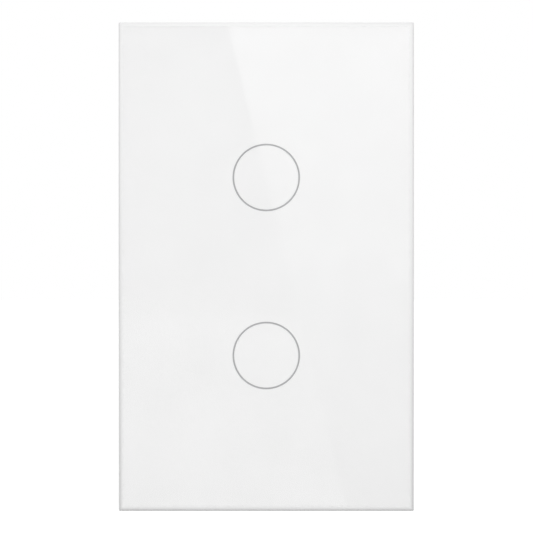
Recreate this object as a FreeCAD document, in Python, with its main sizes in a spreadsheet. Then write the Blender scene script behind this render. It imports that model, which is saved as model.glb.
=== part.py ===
import FreeCAD, Part
import math
import os

import Sketcher
from FreeCAD import Vector

# A touch light switch for one wall box.
# A white glass panel pulls off the front. Behind it lie a moulded housing with two light rings, a
# touch board, a steel yoke, and a rear box with the supply, two relays and four clamp terminals.
# X is to the right, Y goes into the wall and Z is up. The origin is the middle of the yoke's back,
# where the switch seats on its wall box. All sizes are in millimetres.

SIZES = {
    # Glass panel and what is printed on its back
    "panel_width": 72.5,
    "panel_height": 120,
    "panel_corner": 0.4,
    "glass_thickness": 4,
    "glass_front_round": 1.2,
    "glass_back_bevel": 0.3,
    "print_thickness": 0.15,
    "print_margin": 0.6,
    "print_gap": 0.3,
    "key_spacing": 43.96,
    "key_ring_diameter": 16.28,
    "key_ring_line": 0.38,
    "key_ring_gap": 0.02,
    # Tape and carrier frame of the panel
    "tape_thickness": 0.5,
    "tape_width": 3,
    "tape_inset": 0.6,
    "frame_inset": 0.6,
    "frame_wall": 1.6,
    "frame_corner": 1.6,
    "frame_wall_gap": 0.8,
    "flange_width": 4.5,
    "flange_thickness": 1.4,
    "catch_length": 10,
    "catch_place": 34,
    "catch_reach": 0.35,
    "catch_width": 1,
    "catch_play": 0.2,
    "catch_slit": 1,
    "catch_slit_depth": 3.2,
    "notch_width": 8,
    "notch_depth": 1.3,
    # Front housing
    "housing_gap": 0.75,
    "housing_corner": 2,
    "rim_wall": 1.8,
    "rim_gap": 0.35,
    "housing_floor": 1.6,
    "plateau_side_gap": 1.2,
    "plateau_wall": 1.8,
    "plateau_corner": 3,
    "plateau_bevel": 0.8,
    "chamber_depth": 1.55,
    "screw_window_width": 16,
    "screw_window_height": 9.5,
    "window_margin": 0.9,
    "channel_rib_width": 1.2,
    "channel_rib_drop": 0.4,
    "channel_rib_pitch": 16,
    "end_rib_place": 21,
    "boss_shoulder": 7.4,
    "boss_tip": 5.2,
    "boss_hole_depth": 5,
    # Light guides and touch springs
    "guide_width": 1.15,
    "guide_gap": 0.05,
    "groove_depth": 1,
    "guide_leg_size": 2,
    "guide_leg_gap": 0.15,
    "led_gap": 0.1,
    "spring_hole_gap": 1,
    "spring_diameter": 7,
    "spring_wire": 0.5,
    "spring_turns": 2,
    "spring_end_gap": 0.05,
    # Touch board and what it carries
    "board_gap": 0.4,
    "board_hole_gap": 0.2,
    "touch_board_thickness": 1.2,
    "led_size": 1.6,
    "led_height": 0.6,
    "chip_size": 5,
    "chip_height": 0.9,
    "chip_chamfer": 0.2,
    "radio_width": 15,
    "radio_height": 22,
    "radio_thickness": 0.8,
    "radio_place": 12,
    "shield_margin": 0.8,
    "shield_height": 1.9,
    "shield_wall": 0.2,
    "antenna_strip": 6,
    "header_rise": 11,
    "header_depth": 2.5,
    "header_thickness": 2.54,
    "pin_pitch": 2.54,
    "pin_size": 0.64,
    "pin_hole_gap": 0.1,
    "pin_stub": 0.03,
    "pin_grip": 3.9,
    "socket_gap": 0.2,
    "socket_bottom": 0.6,
    # Insulating sheet, yoke and their screws
    "sheet_thickness": 0.2,
    "sheet_margin": 1,
    "yoke_thickness": 1.2,
    "yoke_side_gap": 1.5,
    "yoke_end_gap": 0.25,
    "yoke_corner": 3,
    "yoke_window_width": 32,
    "yoke_window_height": 54,
    "wall_screw_spacing": 83.3,
    "wall_slot_length": 7,
    "wall_slot_width": 4.2,
    "wall_slot_flat": 0.1,
    "wall_screw_diameter": 3.5,
    "wall_screw_neck": 2.8,
    "wall_screw_neck_length": 1,
    "wall_screw_length": 20,
    "wall_screw_head": 7,
    "wall_screw_head_height": 2.2,
    "wall_screw_slot": 0.9,
    "wall_screw_slot_depth": 1.1,
    "washer_size": 9,
    "washer_thickness": 0.6,
    "washer_gap": 0.05,
    "ground_screw_diameter": 4,
    "ground_screw_gap": 0.05,
    "ground_screw_across": 13,
    "ground_screw_clear": 1.1,
    "ground_screw_head": 7,
    "ground_screw_head_height": 2.4,
    "ground_screw_end_gap": 0.1,
    "ground_screw_slot_depth": 1.2,
    # Rear box and the screws that hold the three together
    "box_wall": 1.8,
    "box_corner": 2.5,
    "box_back_bevel": 0.8,
    "column_inset": 3.2,
    "column_size": 5.6,
    "column_gap": 0.75,
    "housing_screw_diameter": 2.6,
    "housing_screw_gap": 0.05,
    "housing_screw_hole_gap": 0.15,
    "housing_screw_tip_gap": 0.3,
    "housing_screw_head": 4.6,
    "housing_screw_head_height": 1.6,
    "corner_step": 5.9,
    "corner_step_depth": 2.2,
    "support_rib_width": 1.6,
    "support_rib_reach": 1.5,
    "support_rib_place": 12,
    "vent_width": 1.6,
    "vent_pitch": 3.4,
    "vent_length": 10,
    "vent_place": 14,
    # Power board and what it carries
    "board_stand": 6,
    "power_board_thickness": 1.6,
    "power_board_gap": 0.3,
    "lead_stub": 1.4,
    "lead_hole_gap": 0.15,
    "supply_zone": 28.8,
    "supply_gap": 1.2,
    "core_width": 14,
    "core_height": 12,
    "core_depth": 6,
    "core_leg": 4,
    "core_yoke": 2,
    "coil_gap": 0.1,
    "coil_wall": 2.6,
    "smoothing_diameter": 8,
    "smoothing_height": 12.5,
    "smoothing_pitch": 9.5,
    "fuse_width": 4.5,
    "fuse_depth": 8.4,
    "fuse_height": 8,
    "varistor_width": 4.2,
    "varistor_depth": 9,
    "varistor_height": 9.5,
    "filter_width": 15,
    "filter_depth": 6,
    "filter_height": 11,
    "bridge_width": 8,
    "bridge_depth": 6.4,
    "bridge_height": 2.6,
    # Clamp terminals
    "terminal_pitch": 7.8,
    "block_side_wall": 1.35,
    "block_end_gap": 0.2,
    "block_depth": 10.5,
    "block_floor": 0.8,
    "block_entry_wall": 1.6,
    "block_rim": 0.3,
    "block_cutout_gap": 0.3,
    "ledge_thickness": 1,
    "ledge_gap": 0.2,
    "entry_width": 4.8,
    "entry_flare": 0.4,
    "cage_width": 6.2,
    "cage_depth": 5.5,
    "cage_gap": 0.1,
    "cage_wall": 0.9,
    "cage_floor": 1,
    "cage_roof": 1.4,
    "cage_travel": 4,
    "wire_gap": 4.4,
    "tongue_thickness": 0.8,
    "tongue_gap": 0.1,
    "tongue_roof_gap": 0.2,
    "contact_slot_gap": 0.1,
    "terminal_screw_diameter": 3,
    "terminal_screw_gap": 0.05,
    "terminal_shaft_gap": 0.1,
    "terminal_screw_head": 5.4,
    "terminal_screw_head_height": 2,
    "terminal_head_gap": 0.3,
    "terminal_screw_slot": 0.8,
    "terminal_screw_slot_depth": 1,
    # Relays
    "relay_width": 10.2,
    "relay_length": 20.2,
    "relay_height": 15.2,
    "relay_gap": 1.5,
    "relay_side_gap": 0.6,
    "relay_top_gap": 0.4,
    "relay_wall": 0.7,
    "relay_round": 0.5,
    "relay_base_thickness": 1.4,
    "relay_base_gap": 0.05,
    "coil_place": 3.6,
    "coil_stand": 0.1,
    "relay_iron": 1.2,
    "pole_size": 3,
    "pole_cap": 6.4,
    "bobbin_size": 8.2,
    "bobbin_wall": 0.7,
    "bobbin_height": 8.2,
    "bobbin_gap": 0.1,
    "winding_inset": 0.4,
    "leg_gap": 0.3,
    "leg_width": 7.4,
    "armature_gap": 0.5,
    "armature_hinge_gap": 0.1,
    "armature_thickness": 1,
    "armature_width": 7,
    "armature_arm_gap": 0.5,
    "armature_arm_length": 6,
    "contact_width": 3.4,
    "contact_spring_gap": 0.7,
    "contact_spring_thickness": 0.3,
    "contact_bar_thickness": 0.5,
    "contact_height": 9.6,
    "contact_pad": 2.2,
    "contact_pad_height": 0.6,
    "contact_pad_gap": 0.4,
    "relay_pin_width": 1,
}

# Places worked out from the sizes. A name without a sheet in front is an earlier line of this list.
PLACES = {
    # Faces in front of the wall, from the yoke's back towards the room
    "yoke_front": "-Sizes.yoke_thickness",
    "board_back": "yoke_front - Sizes.sheet_thickness",
    "board_front": "board_back - Sizes.touch_board_thickness",
    "plateau_back": "board_front - Sizes.chamber_depth",
    "plateau_front": "plateau_back - Sizes.plateau_wall",
    "print_back": "plateau_front - Sizes.print_gap",
    "glass_back": "print_back - Sizes.print_thickness",
    "glass_front": "glass_back - Sizes.glass_thickness",
    "flange_front": "print_back + Sizes.tape_thickness",
    "flange_back": "flange_front + Sizes.flange_thickness",
    "frame_back": "-Sizes.frame_wall_gap",
    "rim_front": "flange_back + Sizes.rim_gap",
    "floor_front": "yoke_front - Sizes.housing_floor",
    "groove_floor": "plateau_front + Sizes.groove_depth",
    "nose_front": "frame_back - Sizes.catch_play - Sizes.catch_width",
    "catch_rib_front": "nose_front - Sizes.catch_play - Sizes.catch_width",
    # Faces behind the wall plane
    "power_front": "Sizes.board_stand",
    "power_back": "power_front + Sizes.power_board_thickness",
    "box_floor": "power_back + Sizes.relay_height + Sizes.relay_top_gap",
    "box_back": "box_floor + Sizes.box_wall",
    "screw_seat": "box_back - Sizes.corner_step_depth",
    # The panel and its frame
    "frame_width": "Sizes.panel_width - 2 * Sizes.frame_inset",
    "frame_height": "Sizes.panel_height - 2 * Sizes.frame_inset",
    "frame_inner_width": "frame_width - 2 * Sizes.frame_wall",
    "frame_inner_height": "frame_height - 2 * Sizes.frame_wall",
    "flange_window_width": "frame_width - 2 * Sizes.flange_width",
    "flange_window_height": "frame_height - 2 * Sizes.flange_width",
    "key_z": "Sizes.key_spacing / 2",
    # The front housing and what lies in it
    "housing_width": "frame_inner_width - 2 * Sizes.housing_gap",
    "housing_height": "frame_inner_height - 2 * Sizes.housing_gap",
    "recess_width": "housing_width - 2 * Sizes.rim_wall",
    "recess_height": "housing_height - 2 * Sizes.rim_wall",
    "wall_screw_z": "Sizes.wall_screw_spacing / 2",
    "plateau_width": "flange_window_width - 2 * Sizes.plateau_side_gap",
    "plateau_height": "Sizes.wall_screw_spacing - Sizes.screw_window_height - 2 * Sizes.window_margin",
    "chamber_width": "plateau_width - 2 * Sizes.plateau_wall",
    "chamber_height": "plateau_height - 2 * Sizes.plateau_wall",
    "board_width": "chamber_width - 2 * Sizes.board_gap",
    "board_height": "chamber_height - 2 * Sizes.board_gap",
    "guide_outer": "Sizes.key_ring_diameter + 2 * Sizes.guide_width",
    "guide_inner": "Sizes.spring_diameter + 2 * Sizes.spring_hole_gap",
    "leg_offset": "Sizes.key_ring_diameter / 2 * cos(45)",
    "yoke_width": "recess_width - 2 * Sizes.yoke_side_gap",
    "yoke_height": "recess_height - 2 * Sizes.yoke_end_gap",
    # The terminals, from the power board towards the back
    "cage_front": "power_back + Sizes.block_floor + Sizes.cage_gap",
    "tongue_front": "cage_front + Sizes.cage_floor + Sizes.wire_gap",
    "tongue_back": "tongue_front + Sizes.tongue_thickness",
    "roof_front": "tongue_back + Sizes.tongue_roof_gap",
    "cage_back": "roof_front + Sizes.cage_roof",
    "ledge_front": "cage_back + Sizes.cage_travel + Sizes.ledge_gap",
    "ledge_back": "ledge_front + Sizes.ledge_thickness",
    "terminal_head_front": "ledge_back + Sizes.terminal_screw_gap",
    "terminal_head_back": "terminal_head_front + Sizes.terminal_screw_head_height",
    "block_back": "terminal_head_back + Sizes.block_rim",
    "cavity_width": "Sizes.cage_width + 2 * Sizes.cage_gap",
    "cavity_depth": "Sizes.cage_depth + 2 * Sizes.cage_gap",
    "block_width": "3 * Sizes.terminal_pitch + cavity_width + 2 * Sizes.block_side_wall",
    # The rear box, sized by what it holds
    "box_width": "block_width + 2 * Sizes.column_gap + Sizes.column_size + 2 * Sizes.column_inset",
    "box_inner_height": "Sizes.block_end_gap + Sizes.block_depth + Sizes.relay_gap"
    " + Sizes.relay_length + Sizes.supply_gap + Sizes.supply_zone",
    "box_height": "box_inner_height + 2 * Sizes.box_wall",
    "box_inner_width": "box_width - 2 * Sizes.box_wall",
    "column_x": "box_width / 2 - Sizes.column_inset",
    "column_z": "box_height / 2 - Sizes.column_inset",
    "power_width": "box_inner_width - 2 * Sizes.power_board_gap",
    "power_height": "box_inner_height - 2 * Sizes.power_board_gap",
    "column_notch": "Sizes.column_size + 2 * Sizes.power_board_gap",
    "block_bottom": "Sizes.block_end_gap - box_inner_height / 2",
    "block_z": "block_bottom + Sizes.block_depth / 2",
    "header_z": "block_bottom + Sizes.header_rise",
    "cavity_bottom": "block_bottom + Sizes.block_entry_wall",
    "terminal_z": "cavity_bottom + cavity_depth / 2",
    "contact_leg_z": "cavity_bottom + cavity_depth + Sizes.block_side_wall",
    "relay_z": "block_bottom + Sizes.block_depth + Sizes.relay_gap + Sizes.relay_length / 2",
    "supply_bottom": "relay_z + Sizes.relay_length / 2 + Sizes.supply_gap",
    "supply_low": "supply_bottom + Sizes.supply_zone / 4",
    "supply_high": "supply_bottom + Sizes.supply_zone * 2 / 3",
    "ground_screw_z": "box_height / 2 + Sizes.ground_screw_head / 2 + Sizes.ground_screw_clear",
    # One relay, from its base at the power board
    "coil_front": "Sizes.relay_base_thickness + Sizes.coil_stand",
    "bobbin_front": "coil_front + Sizes.relay_iron + Sizes.bobbin_gap",
    "pole_back": "bobbin_front + Sizes.bobbin_height + Sizes.bobbin_gap + Sizes.relay_iron",
    "armature_front": "pole_back + Sizes.armature_gap",
    "armature_back": "armature_front + Sizes.armature_thickness",
    "leg_back": "armature_front - Sizes.armature_hinge_gap",
    "leg_near": "Sizes.bobbin_size / 2 - Sizes.coil_place + Sizes.leg_gap",
    "leg_far": "leg_near + Sizes.relay_iron",
    "arm_near": "leg_far + Sizes.armature_arm_gap",
    "arm_far": "arm_near + Sizes.armature_thickness",
    "spring_near": "arm_far + Sizes.contact_spring_gap",
    "spring_far": "spring_near + Sizes.contact_spring_thickness",
    "bar_near": "spring_far + 2 * Sizes.contact_pad_height + Sizes.contact_pad_gap",
    "bar_far": "bar_near + Sizes.contact_bar_thickness",
    "pad_y": "Sizes.contact_height - Sizes.contact_pad / 2",
    "lead_length": "Sizes.power_board_thickness + Sizes.lead_stub",
}

XZ, XY, YZ = "XZ_Plane", "XY_Plane", "YZ_Plane"
TINY = 0.001
KEYS = {"upper": "Places.key_z", "lower": "-Places.key_z"}
WIRE_SIDES = 5
POLES = {1: -1.5, 2: -0.5, 3: 0.5, 4: 1.5}
HEADER_PINS = (-2.5, -1.5, -0.5, 0.5, 1.5, 2.5)
RELAYS = {1: -1, 2: 1}
SUPPLY_PARTS = {"filter_capacitor": "filter", "varistor": "varistor", "fuse": "fuse",
                "bridge_rectifier": "bridge"}
SCREWED_COLUMNS = (("-Places.column_x", "Places.column_z"), ("Places.column_x", "-Places.column_z"))

doc = FreeCAD.newDocument("touch_switch")


def fill_sheet(sheet, entries, prefix=""):
    """One row for each entry: its name in column A, its number or formula in column B."""
    for row, (alias, content) in enumerate(entries.items(), start=1):
        sheet.set(f"A{row}", alias)
        sheet.set(f"B{row}", f"{prefix}{content}")
        sheet.setAlias(f"B{row}", alias)
    doc.recompute()


size_sheet = doc.addObject("Spreadsheet::Sheet", "Sizes")
fill_sheet(size_sheet, SIZES)
place_sheet = doc.addObject("Spreadsheet::Sheet", "Places")
fill_sheet(place_sheet, PLACES, "=")

sub_parts = []


def value(expression):
    """The present number behind an expression on the two sheets."""
    return float(size_sheet.evalExpression(expression))


def new_body(label, x="0", y="0", z="0"):
    """A sub-part made of features, with its origin at (x, y, z)."""
    body = doc.addObject("PartDesign::Body", label)
    body.Label = label
    body.AllowCompound = True
    for axis, place in zip("xyz", (x, y, z)):
        body.setExpression(f"Placement.Base.{axis}", place)
    sub_parts.append(body)
    return body


def origin_part(body, role):
    return next(item for item in body.Origin.OriginFeatures if item.Role == role)


def dimension(sketch, kind, elements, expression):
    """A dimension of a sketch, bound to an expression."""
    index = sketch.addConstraint(Sketcher.Constraint(kind, *elements, value(expression)))
    sketch.setExpression(f"Constraints[{index}]", expression)


def polygon(points):
    """A closed outline through points, each a pair of expressions."""

    def draw(sketch):
        corners = [Vector(value(u), value(v), 0) for u, v in points]
        following = corners[1:] + corners[:1]
        first = sketch.GeometryCount
        sketch.addGeometry([Part.LineSegment(a, b) for a, b in zip(corners, following)], False)
        for index, (u, v) in enumerate(points):
            line = first + index
            after = first + (index + 1) % len(points)
            sketch.addConstraint(Sketcher.Constraint("Coincident", line, 2, after, 1))
            dimension(sketch, "DistanceX", (-1, 1, line, 1), u)
            dimension(sketch, "DistanceY", (-1, 1, line, 1), v)

    return draw


def rectangle(width, height, u="0", v="0"):
    """A rectangle round the point (u, v)."""
    left, right = f"{u} - ({width}) / 2", f"{u} + ({width}) / 2"
    bottom, top = f"{v} - ({height}) / 2", f"{v} + ({height}) / 2"
    return polygon([(left, bottom), (right, bottom), (right, top), (left, top)])


def bevelled(width, height, bevel):
    """A rectangle round the middle, with its corners cut off at 45 degrees."""
    points = []
    for across, up in ((1, -1), (1, 1), (-1, 1), (-1, -1)):
        x, z = f"{across} * ({width}) / 2", f"{up} * ({height}) / 2"
        beside, below = (f"{x} - ({across}) * ({bevel})", z), (x, f"{z} - ({up}) * ({bevel})")
        points += [beside, below] if across * up < 0 else [below, beside]
    return polygon(points)


def rounded(width, height, radius, u="0", v="0"):
    """A rectangle round the point (u, v), with an arc at each corner."""

    def draw(sketch):
        r = value(radius)
        left = value(f"{u} - ({width}) / 2")
        bottom = value(f"{v} - ({height}) / 2")
        right = left + value(width)
        top = bottom + value(height)
        arcs = [(right - r, bottom + r), (right - r, top - r), (left + r, top - r), (left + r, bottom + r)]
        lines = [
            ((left + r, bottom), (right - r, bottom)),
            ((right, bottom + r), (right, top - r)),
            ((right - r, top), (left + r, top)),
            ((left, top - r), (left, bottom + r)),
        ]
        first = sketch.GeometryCount
        for start, end in lines:
            sketch.addGeometry(Part.LineSegment(Vector(*start, 0), Vector(*end, 0)), False)
        for quarter, centre in enumerate(arcs):
            circle_line = Part.Circle(Vector(*centre, 0), Vector(0, 0, 1), r)
            start = math.radians(90 * quarter - 90)
            sketch.addGeometry(Part.ArcOfCircle(circle_line, start, start + math.pi / 2), False)
        for side in range(4):
            arc = first + 4 + side
            following = first + (side + 1) % 4
            sketch.addConstraint(Sketcher.Constraint("Tangent", first + side, 2, arc, 1))
            sketch.addConstraint(Sketcher.Constraint("Tangent", arc, 2, following, 1))
            if side:
                sketch.addConstraint(Sketcher.Constraint("Equal", first + 4, arc))
        for side, direction in enumerate(("Horizontal", "Vertical", "Horizontal", "Vertical")):
            sketch.addConstraint(Sketcher.Constraint(direction, first + side))
        dimension(sketch, "Radius", (first + 4,), radius)
        dimension(sketch, "DistanceX", (first + 3, 1, first + 1, 1), width)
        dimension(sketch, "DistanceY", (first, 1, first + 2, 1), height)
        dimension(sketch, "DistanceX", (-1, 1, first + 3, 1), f"{u} - ({width}) / 2")
        dimension(sketch, "DistanceY", (-1, 1, first, 1), f"{v} - ({height}) / 2")

    return draw


def circle(diameter, u="0", v="0"):
    """A circle round the point (u, v)."""

    def draw(sketch):
        centre = Vector(value(u), value(v), 0)
        line = sketch.addGeometry(Part.Circle(centre, Vector(0, 0, 1), value(diameter) / 2), False)
        dimension(sketch, "Diameter", (line,), diameter)
        dimension(sketch, "DistanceX", (-1, 1, line, 3), u)
        dimension(sketch, "DistanceY", (-1, 1, line, 3), v)

    return draw


def sketch_on(body, plane, level, outlines, name):
    """A sketch of closed outlines, parallel to one of the body's planes and at level on its axis."""
    sketch = body.newObject("Sketcher::SketchObject", f"{name}_sketch")
    sketch.AttachmentSupport = [(origin_part(body, plane), "")]
    sketch.MapMode = "FlatFace"
    sign = "-1" if plane == XZ else "1"
    sketch.setExpression("AttachmentOffset.Base.z", f"{sign} * ({level})")
    for outline in outlines:
        outline(sketch)
    return sketch


def add(body, plane, level, depth, outlines, name):
    """Solid from level, over depth, in the positive direction of the plane's axis."""
    sketch = sketch_on(body, plane, level, outlines, name)
    pad = body.newObject("PartDesign::Pad", name)
    pad.Profile = sketch
    pad.setExpression("Length", depth)
    pad.Reversed = plane == XZ
    doc.recompute()


def cut(body, plane, level, depth, outlines, name):
    """Room from level, over depth, in the positive direction of the plane's axis."""
    volume = body.Tip.Shape.Volume
    sketch = sketch_on(body, plane, level, outlines, name)
    pocket = body.newObject("PartDesign::Pocket", name)
    pocket.Profile = sketch
    pocket.setExpression("Length", depth)
    pocket.Reversed = plane != XZ
    doc.recompute()
    if pocket.Shape.Volume >= volume:
        raise ValueError(f"{body.Label}: {name} cuts nothing")


def turn(body, x, z, points, name):
    """A body of revolution about the Y line through (x, z). A point is (radius, y)."""
    sketch = sketch_on(body, XY, z, [polygon(points)], name)
    sketch.setExpression("AttachmentOffset.Base.x", x)
    revolution = body.newObject("PartDesign::Revolution", name)
    revolution.Profile = sketch
    revolution.ReferenceAxis = (sketch, ["V_Axis"])
    revolution.Angle = 360
    doc.recompute()


def dress(body, kind, setting, size, chosen, name):
    """A fillet or chamfer on the edges of the body whose bounding box is chosen."""
    base = body.Tip
    edges = [f"Edge{i}" for i, edge in enumerate(base.Shape.Edges, start=1) if chosen(edge.BoundBox)]
    feature = body.newObject(f"PartDesign::{kind}", name)
    feature.Base = (base, edges)
    feature.setExpression(setting, size)
    doc.recompute()


def round_edges(body, radius, chosen, name):
    dress(body, "Fillet", "Radius", radius, chosen, name)


def bevel_edges(body, size, chosen, name):
    dress(body, "Chamfer", "Size", size, chosen, name)


def at_front(level):
    """The edges that lie in the plane y = level, or in front of it."""
    limit = value(level) + TINY
    return lambda box: box.YMax < limit


def at_back(level):
    """The edges that lie in the plane y = level, or behind it."""
    limit = value(level) - TINY
    return lambda box: box.YMin > limit


def mirrored(x, z):
    """The four places (x, z), left and right and up and down."""
    return [(f"{side} * ({x})", f"{end} * ({z})") for side in (-1, 1) for end in (-1, 1)]


def glass_panel():
    body = new_body("glass_panel")
    outline = rounded("Sizes.panel_width", "Sizes.panel_height", "Sizes.panel_corner")
    add(body, XZ, "Places.glass_front", "Sizes.glass_thickness", [outline], "plate")
    round_edges(body, "Sizes.glass_front_round", at_front("Places.glass_front"), "front_round")
    bevel_edges(body, "Sizes.glass_back_bevel", at_back("Places.glass_back"), "back_bevel")


def glass_print():
    """White ink on the back of the glass, open along the two key rings."""
    body = new_body("glass_print")
    outlines = [
        rectangle("Sizes.panel_width - 2 * Sizes.print_margin",
                  "Sizes.panel_height - 2 * Sizes.print_margin")
    ]
    line = "Sizes.key_ring_line + 2 * Sizes.key_ring_gap"
    for z in KEYS.values():
        outlines.append(circle(f"Sizes.key_ring_diameter + ({line})", v=z))
        outlines.append(circle(f"Sizes.key_ring_diameter - ({line})", v=z))
    add(body, XZ, "Places.glass_back", "Sizes.print_thickness", outlines, "ink")


def key_ring(side, z):
    body = new_body(f"{side}_key_ring")
    ring = [circle(f"Sizes.key_ring_diameter {sign} Sizes.key_ring_line", v=z) for sign in "+-"]
    add(body, XZ, "Places.glass_back", "Sizes.print_thickness", ring, "ring")


def mounting_tape():
    body = new_body("mounting_tape")
    width, height = (f"Places.frame_{size} - 2 * Sizes.tape_inset" for size in ("width", "height"))
    tape = [
        rectangle(width, height),
        rectangle(f"{width} - 2 * Sizes.tape_width", f"{height} - 2 * Sizes.tape_width"),
    ]
    add(body, XZ, "Places.print_back", "Sizes.tape_thickness", tape, "tape")


def panel_frame():
    """The moulded carrier: walls, a flange under the glass, four snap tongues and a pry notch."""
    body = new_body("panel_frame")
    outer = rounded("Places.frame_width", "Places.frame_height", "Sizes.frame_corner")
    add(body, XZ, "Places.flange_front", "Places.frame_back - Places.flange_front", [outer], "walls")
    inner = rectangle("Places.frame_inner_width", "Places.frame_inner_height")
    cut(body, XZ, "Places.flange_back", "Places.frame_back - Places.flange_back", [inner], "inside")
    window = rectangle("Places.flange_window_width", "Places.flange_window_height")
    cut(body, XZ, "Places.flange_front", "Sizes.flange_thickness", [window], "window")
    noses = [
        rectangle(
            "Sizes.catch_reach",
            "Sizes.catch_length",
            f"{side} * (Places.frame_inner_width - Sizes.catch_reach) / 2",
            f"{end} * Sizes.catch_place",
        )
        for side in (-1, 1)
        for end in (-1, 1)
    ]
    add(body, XZ, "Places.nose_front", "Sizes.catch_width", noses, "catch_noses")
    offset = "(Sizes.catch_length + Sizes.catch_slit) / 2"
    slits = [
        rectangle(
            "Sizes.frame_wall",
            "Sizes.catch_slit",
            f"{side} * (Places.frame_inner_width + Sizes.frame_wall) / 2",
            f"{end} * Sizes.catch_place {sign} {offset}",
        )
        for side in (-1, 1)
        for end in (-1, 1)
        for sign in "+-"
    ]
    slit_front = "Places.frame_back - Sizes.catch_slit_depth"
    cut(body, XZ, slit_front, "Sizes.catch_slit_depth", slits, "catch_slits")
    notch = rectangle(
        "Sizes.notch_width", "Sizes.frame_wall", v="-(Places.frame_height - Sizes.frame_wall) / 2"
    )
    cut(body, XZ, "Places.frame_back - Sizes.notch_depth", "Sizes.notch_depth", [notch], "pry_notch")


def front_housing():
    """The moulded front: a rim, a floor with screw windows, and a raised plateau over the board."""
    body = new_body("front_housing")
    housing = bevelled("Places.housing_width", "Places.housing_height", "Sizes.housing_corner")
    add(body, XZ, "Places.rim_front", "-Places.rim_front", [housing], "rim")
    recess = rectangle("Places.recess_width", "Places.recess_height")
    cut(body, XZ, "Places.rim_front", "Places.floor_front - Places.rim_front", [recess], "front_channel")
    plateau = rounded("Places.plateau_width", "Places.plateau_height", "Sizes.plateau_corner")
    height = "Places.floor_front - Places.plateau_front"
    add(body, XZ, "Places.plateau_front", height, [plateau], "plateau")
    bevel_edges(body, "Sizes.plateau_bevel", at_front("Places.plateau_front"), "plateau_bevel")
    add(body, XZ, "Places.rim_front + Sizes.channel_rib_drop",
        "Places.floor_front - Places.rim_front - Sizes.channel_rib_drop", channel_ribs(), "channel_ribs")
    cut(body, XZ, "Places.yoke_front", "-Places.yoke_front", [recess], "yoke_recess")
    chamber = rectangle("Places.chamber_width", "Places.chamber_height")
    depth = "Places.yoke_front - Places.plateau_back"
    cut(body, XZ, "Places.plateau_back", depth, [chamber], "board_chamber")
    windows = [
        rectangle("Sizes.screw_window_width", "Sizes.screw_window_height", v=f"{end} * Places.wall_screw_z")
        for end in (-1, 1)
    ]
    cut(body, XZ, "Places.floor_front", "Sizes.housing_floor", windows, "screw_windows")
    seats = [circle("Places.guide_outer + 2 * Sizes.guide_gap", v=z) for z in KEYS.values()]
    cut(body, XZ, "Places.plateau_front", "Sizes.groove_depth", seats, "guide_seats")
    leg_room = "Sizes.guide_leg_size + 2 * Sizes.guide_leg_gap"
    legs = [
        rectangle(leg_room, leg_room, x, f"{key} + ({z})")
        for key in KEYS.values()
        for x, z in mirrored("Places.leg_offset", "Places.leg_offset")
    ]
    leg_depth = "Sizes.plateau_wall - Sizes.groove_depth"
    cut(body, XZ, "Places.groove_floor", leg_depth, legs, "guide_leg_holes")
    springs = [circle("Places.guide_inner", v=z) for z in KEYS.values()]
    cut(body, XZ, "Places.groove_floor", leg_depth, springs, "spring_holes")
    places = mirrored("Places.column_x", "Places.column_z")
    shoulders = [rectangle("Sizes.boss_shoulder", "Sizes.boss_shoulder", x, z) for x, z in places]
    add(body, XZ, "Places.plateau_back", "Sizes.chamber_depth", shoulders, "boss_shoulders")
    tips = [rectangle("Sizes.boss_tip", "Sizes.boss_tip", x, z) for x, z in places]
    add(body, XZ, "Places.plateau_back", "-Places.plateau_back", tips, "boss_tips")
    hole = "Sizes.housing_screw_diameter + 2 * Sizes.housing_screw_gap"
    holes = [circle(hole, x, z) for x, z in SCREWED_COLUMNS]
    cut(body, XZ, "-Sizes.boss_hole_depth", "Sizes.boss_hole_depth", holes, "boss_holes")
    ribs = [
        rectangle("Sizes.catch_reach", "Sizes.catch_length",
                  f"{side} * (Places.housing_width + Sizes.catch_reach) / 2", f"{end} * Sizes.catch_place")
        for side in (-1, 1)
        for end in (-1, 1)
    ]
    add(body, XZ, "Places.catch_rib_front", "Sizes.catch_width", ribs, "catch_ribs")


def channel_ribs():
    """Stiffening ribs across the channel between the plateau and the rim."""
    span = "(Places.recess_width - Places.plateau_width) / 2"
    across = [
        rectangle(span, "Sizes.channel_rib_width",
                  f"{side} * (Places.recess_width + Places.plateau_width) / 4",
                  f"{step} * Sizes.channel_rib_pitch")
        for side in (-1, 1)
        for step in (-2, -1, 0, 1, 2)
    ]
    rise = "(Places.recess_height - Places.plateau_height) / 2"
    upright = [
        rectangle("Sizes.channel_rib_width", rise, f"{side} * Sizes.end_rib_place",
                  f"{end} * (Places.recess_height + Places.plateau_height) / 4")
        for side in (-1, 1)
        for end in (-1, 1)
    ]
    return across + upright


def light_guide(side, key):
    """A clear disc behind the key ring, with the spring's hole and four legs down to the lamps."""
    body = new_body(f"{side}_light_guide")
    ring = [circle("Places.guide_outer", v=key), circle("Places.guide_inner", v=key)]
    front = "Places.plateau_front + Sizes.guide_gap"
    add(body, XZ, front, "Sizes.groove_depth - Sizes.guide_gap", ring, "ring")
    legs = [
        rectangle("Sizes.guide_leg_size", "Sizes.guide_leg_size", x, f"{key} + ({z})")
        for x, z in mirrored("Places.leg_offset", "Places.leg_offset")
    ]
    reach = "Places.board_front - Sizes.led_height - Sizes.led_gap - Places.groove_floor"
    add(body, XZ, "Places.groove_floor", reach, legs, "legs")


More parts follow.
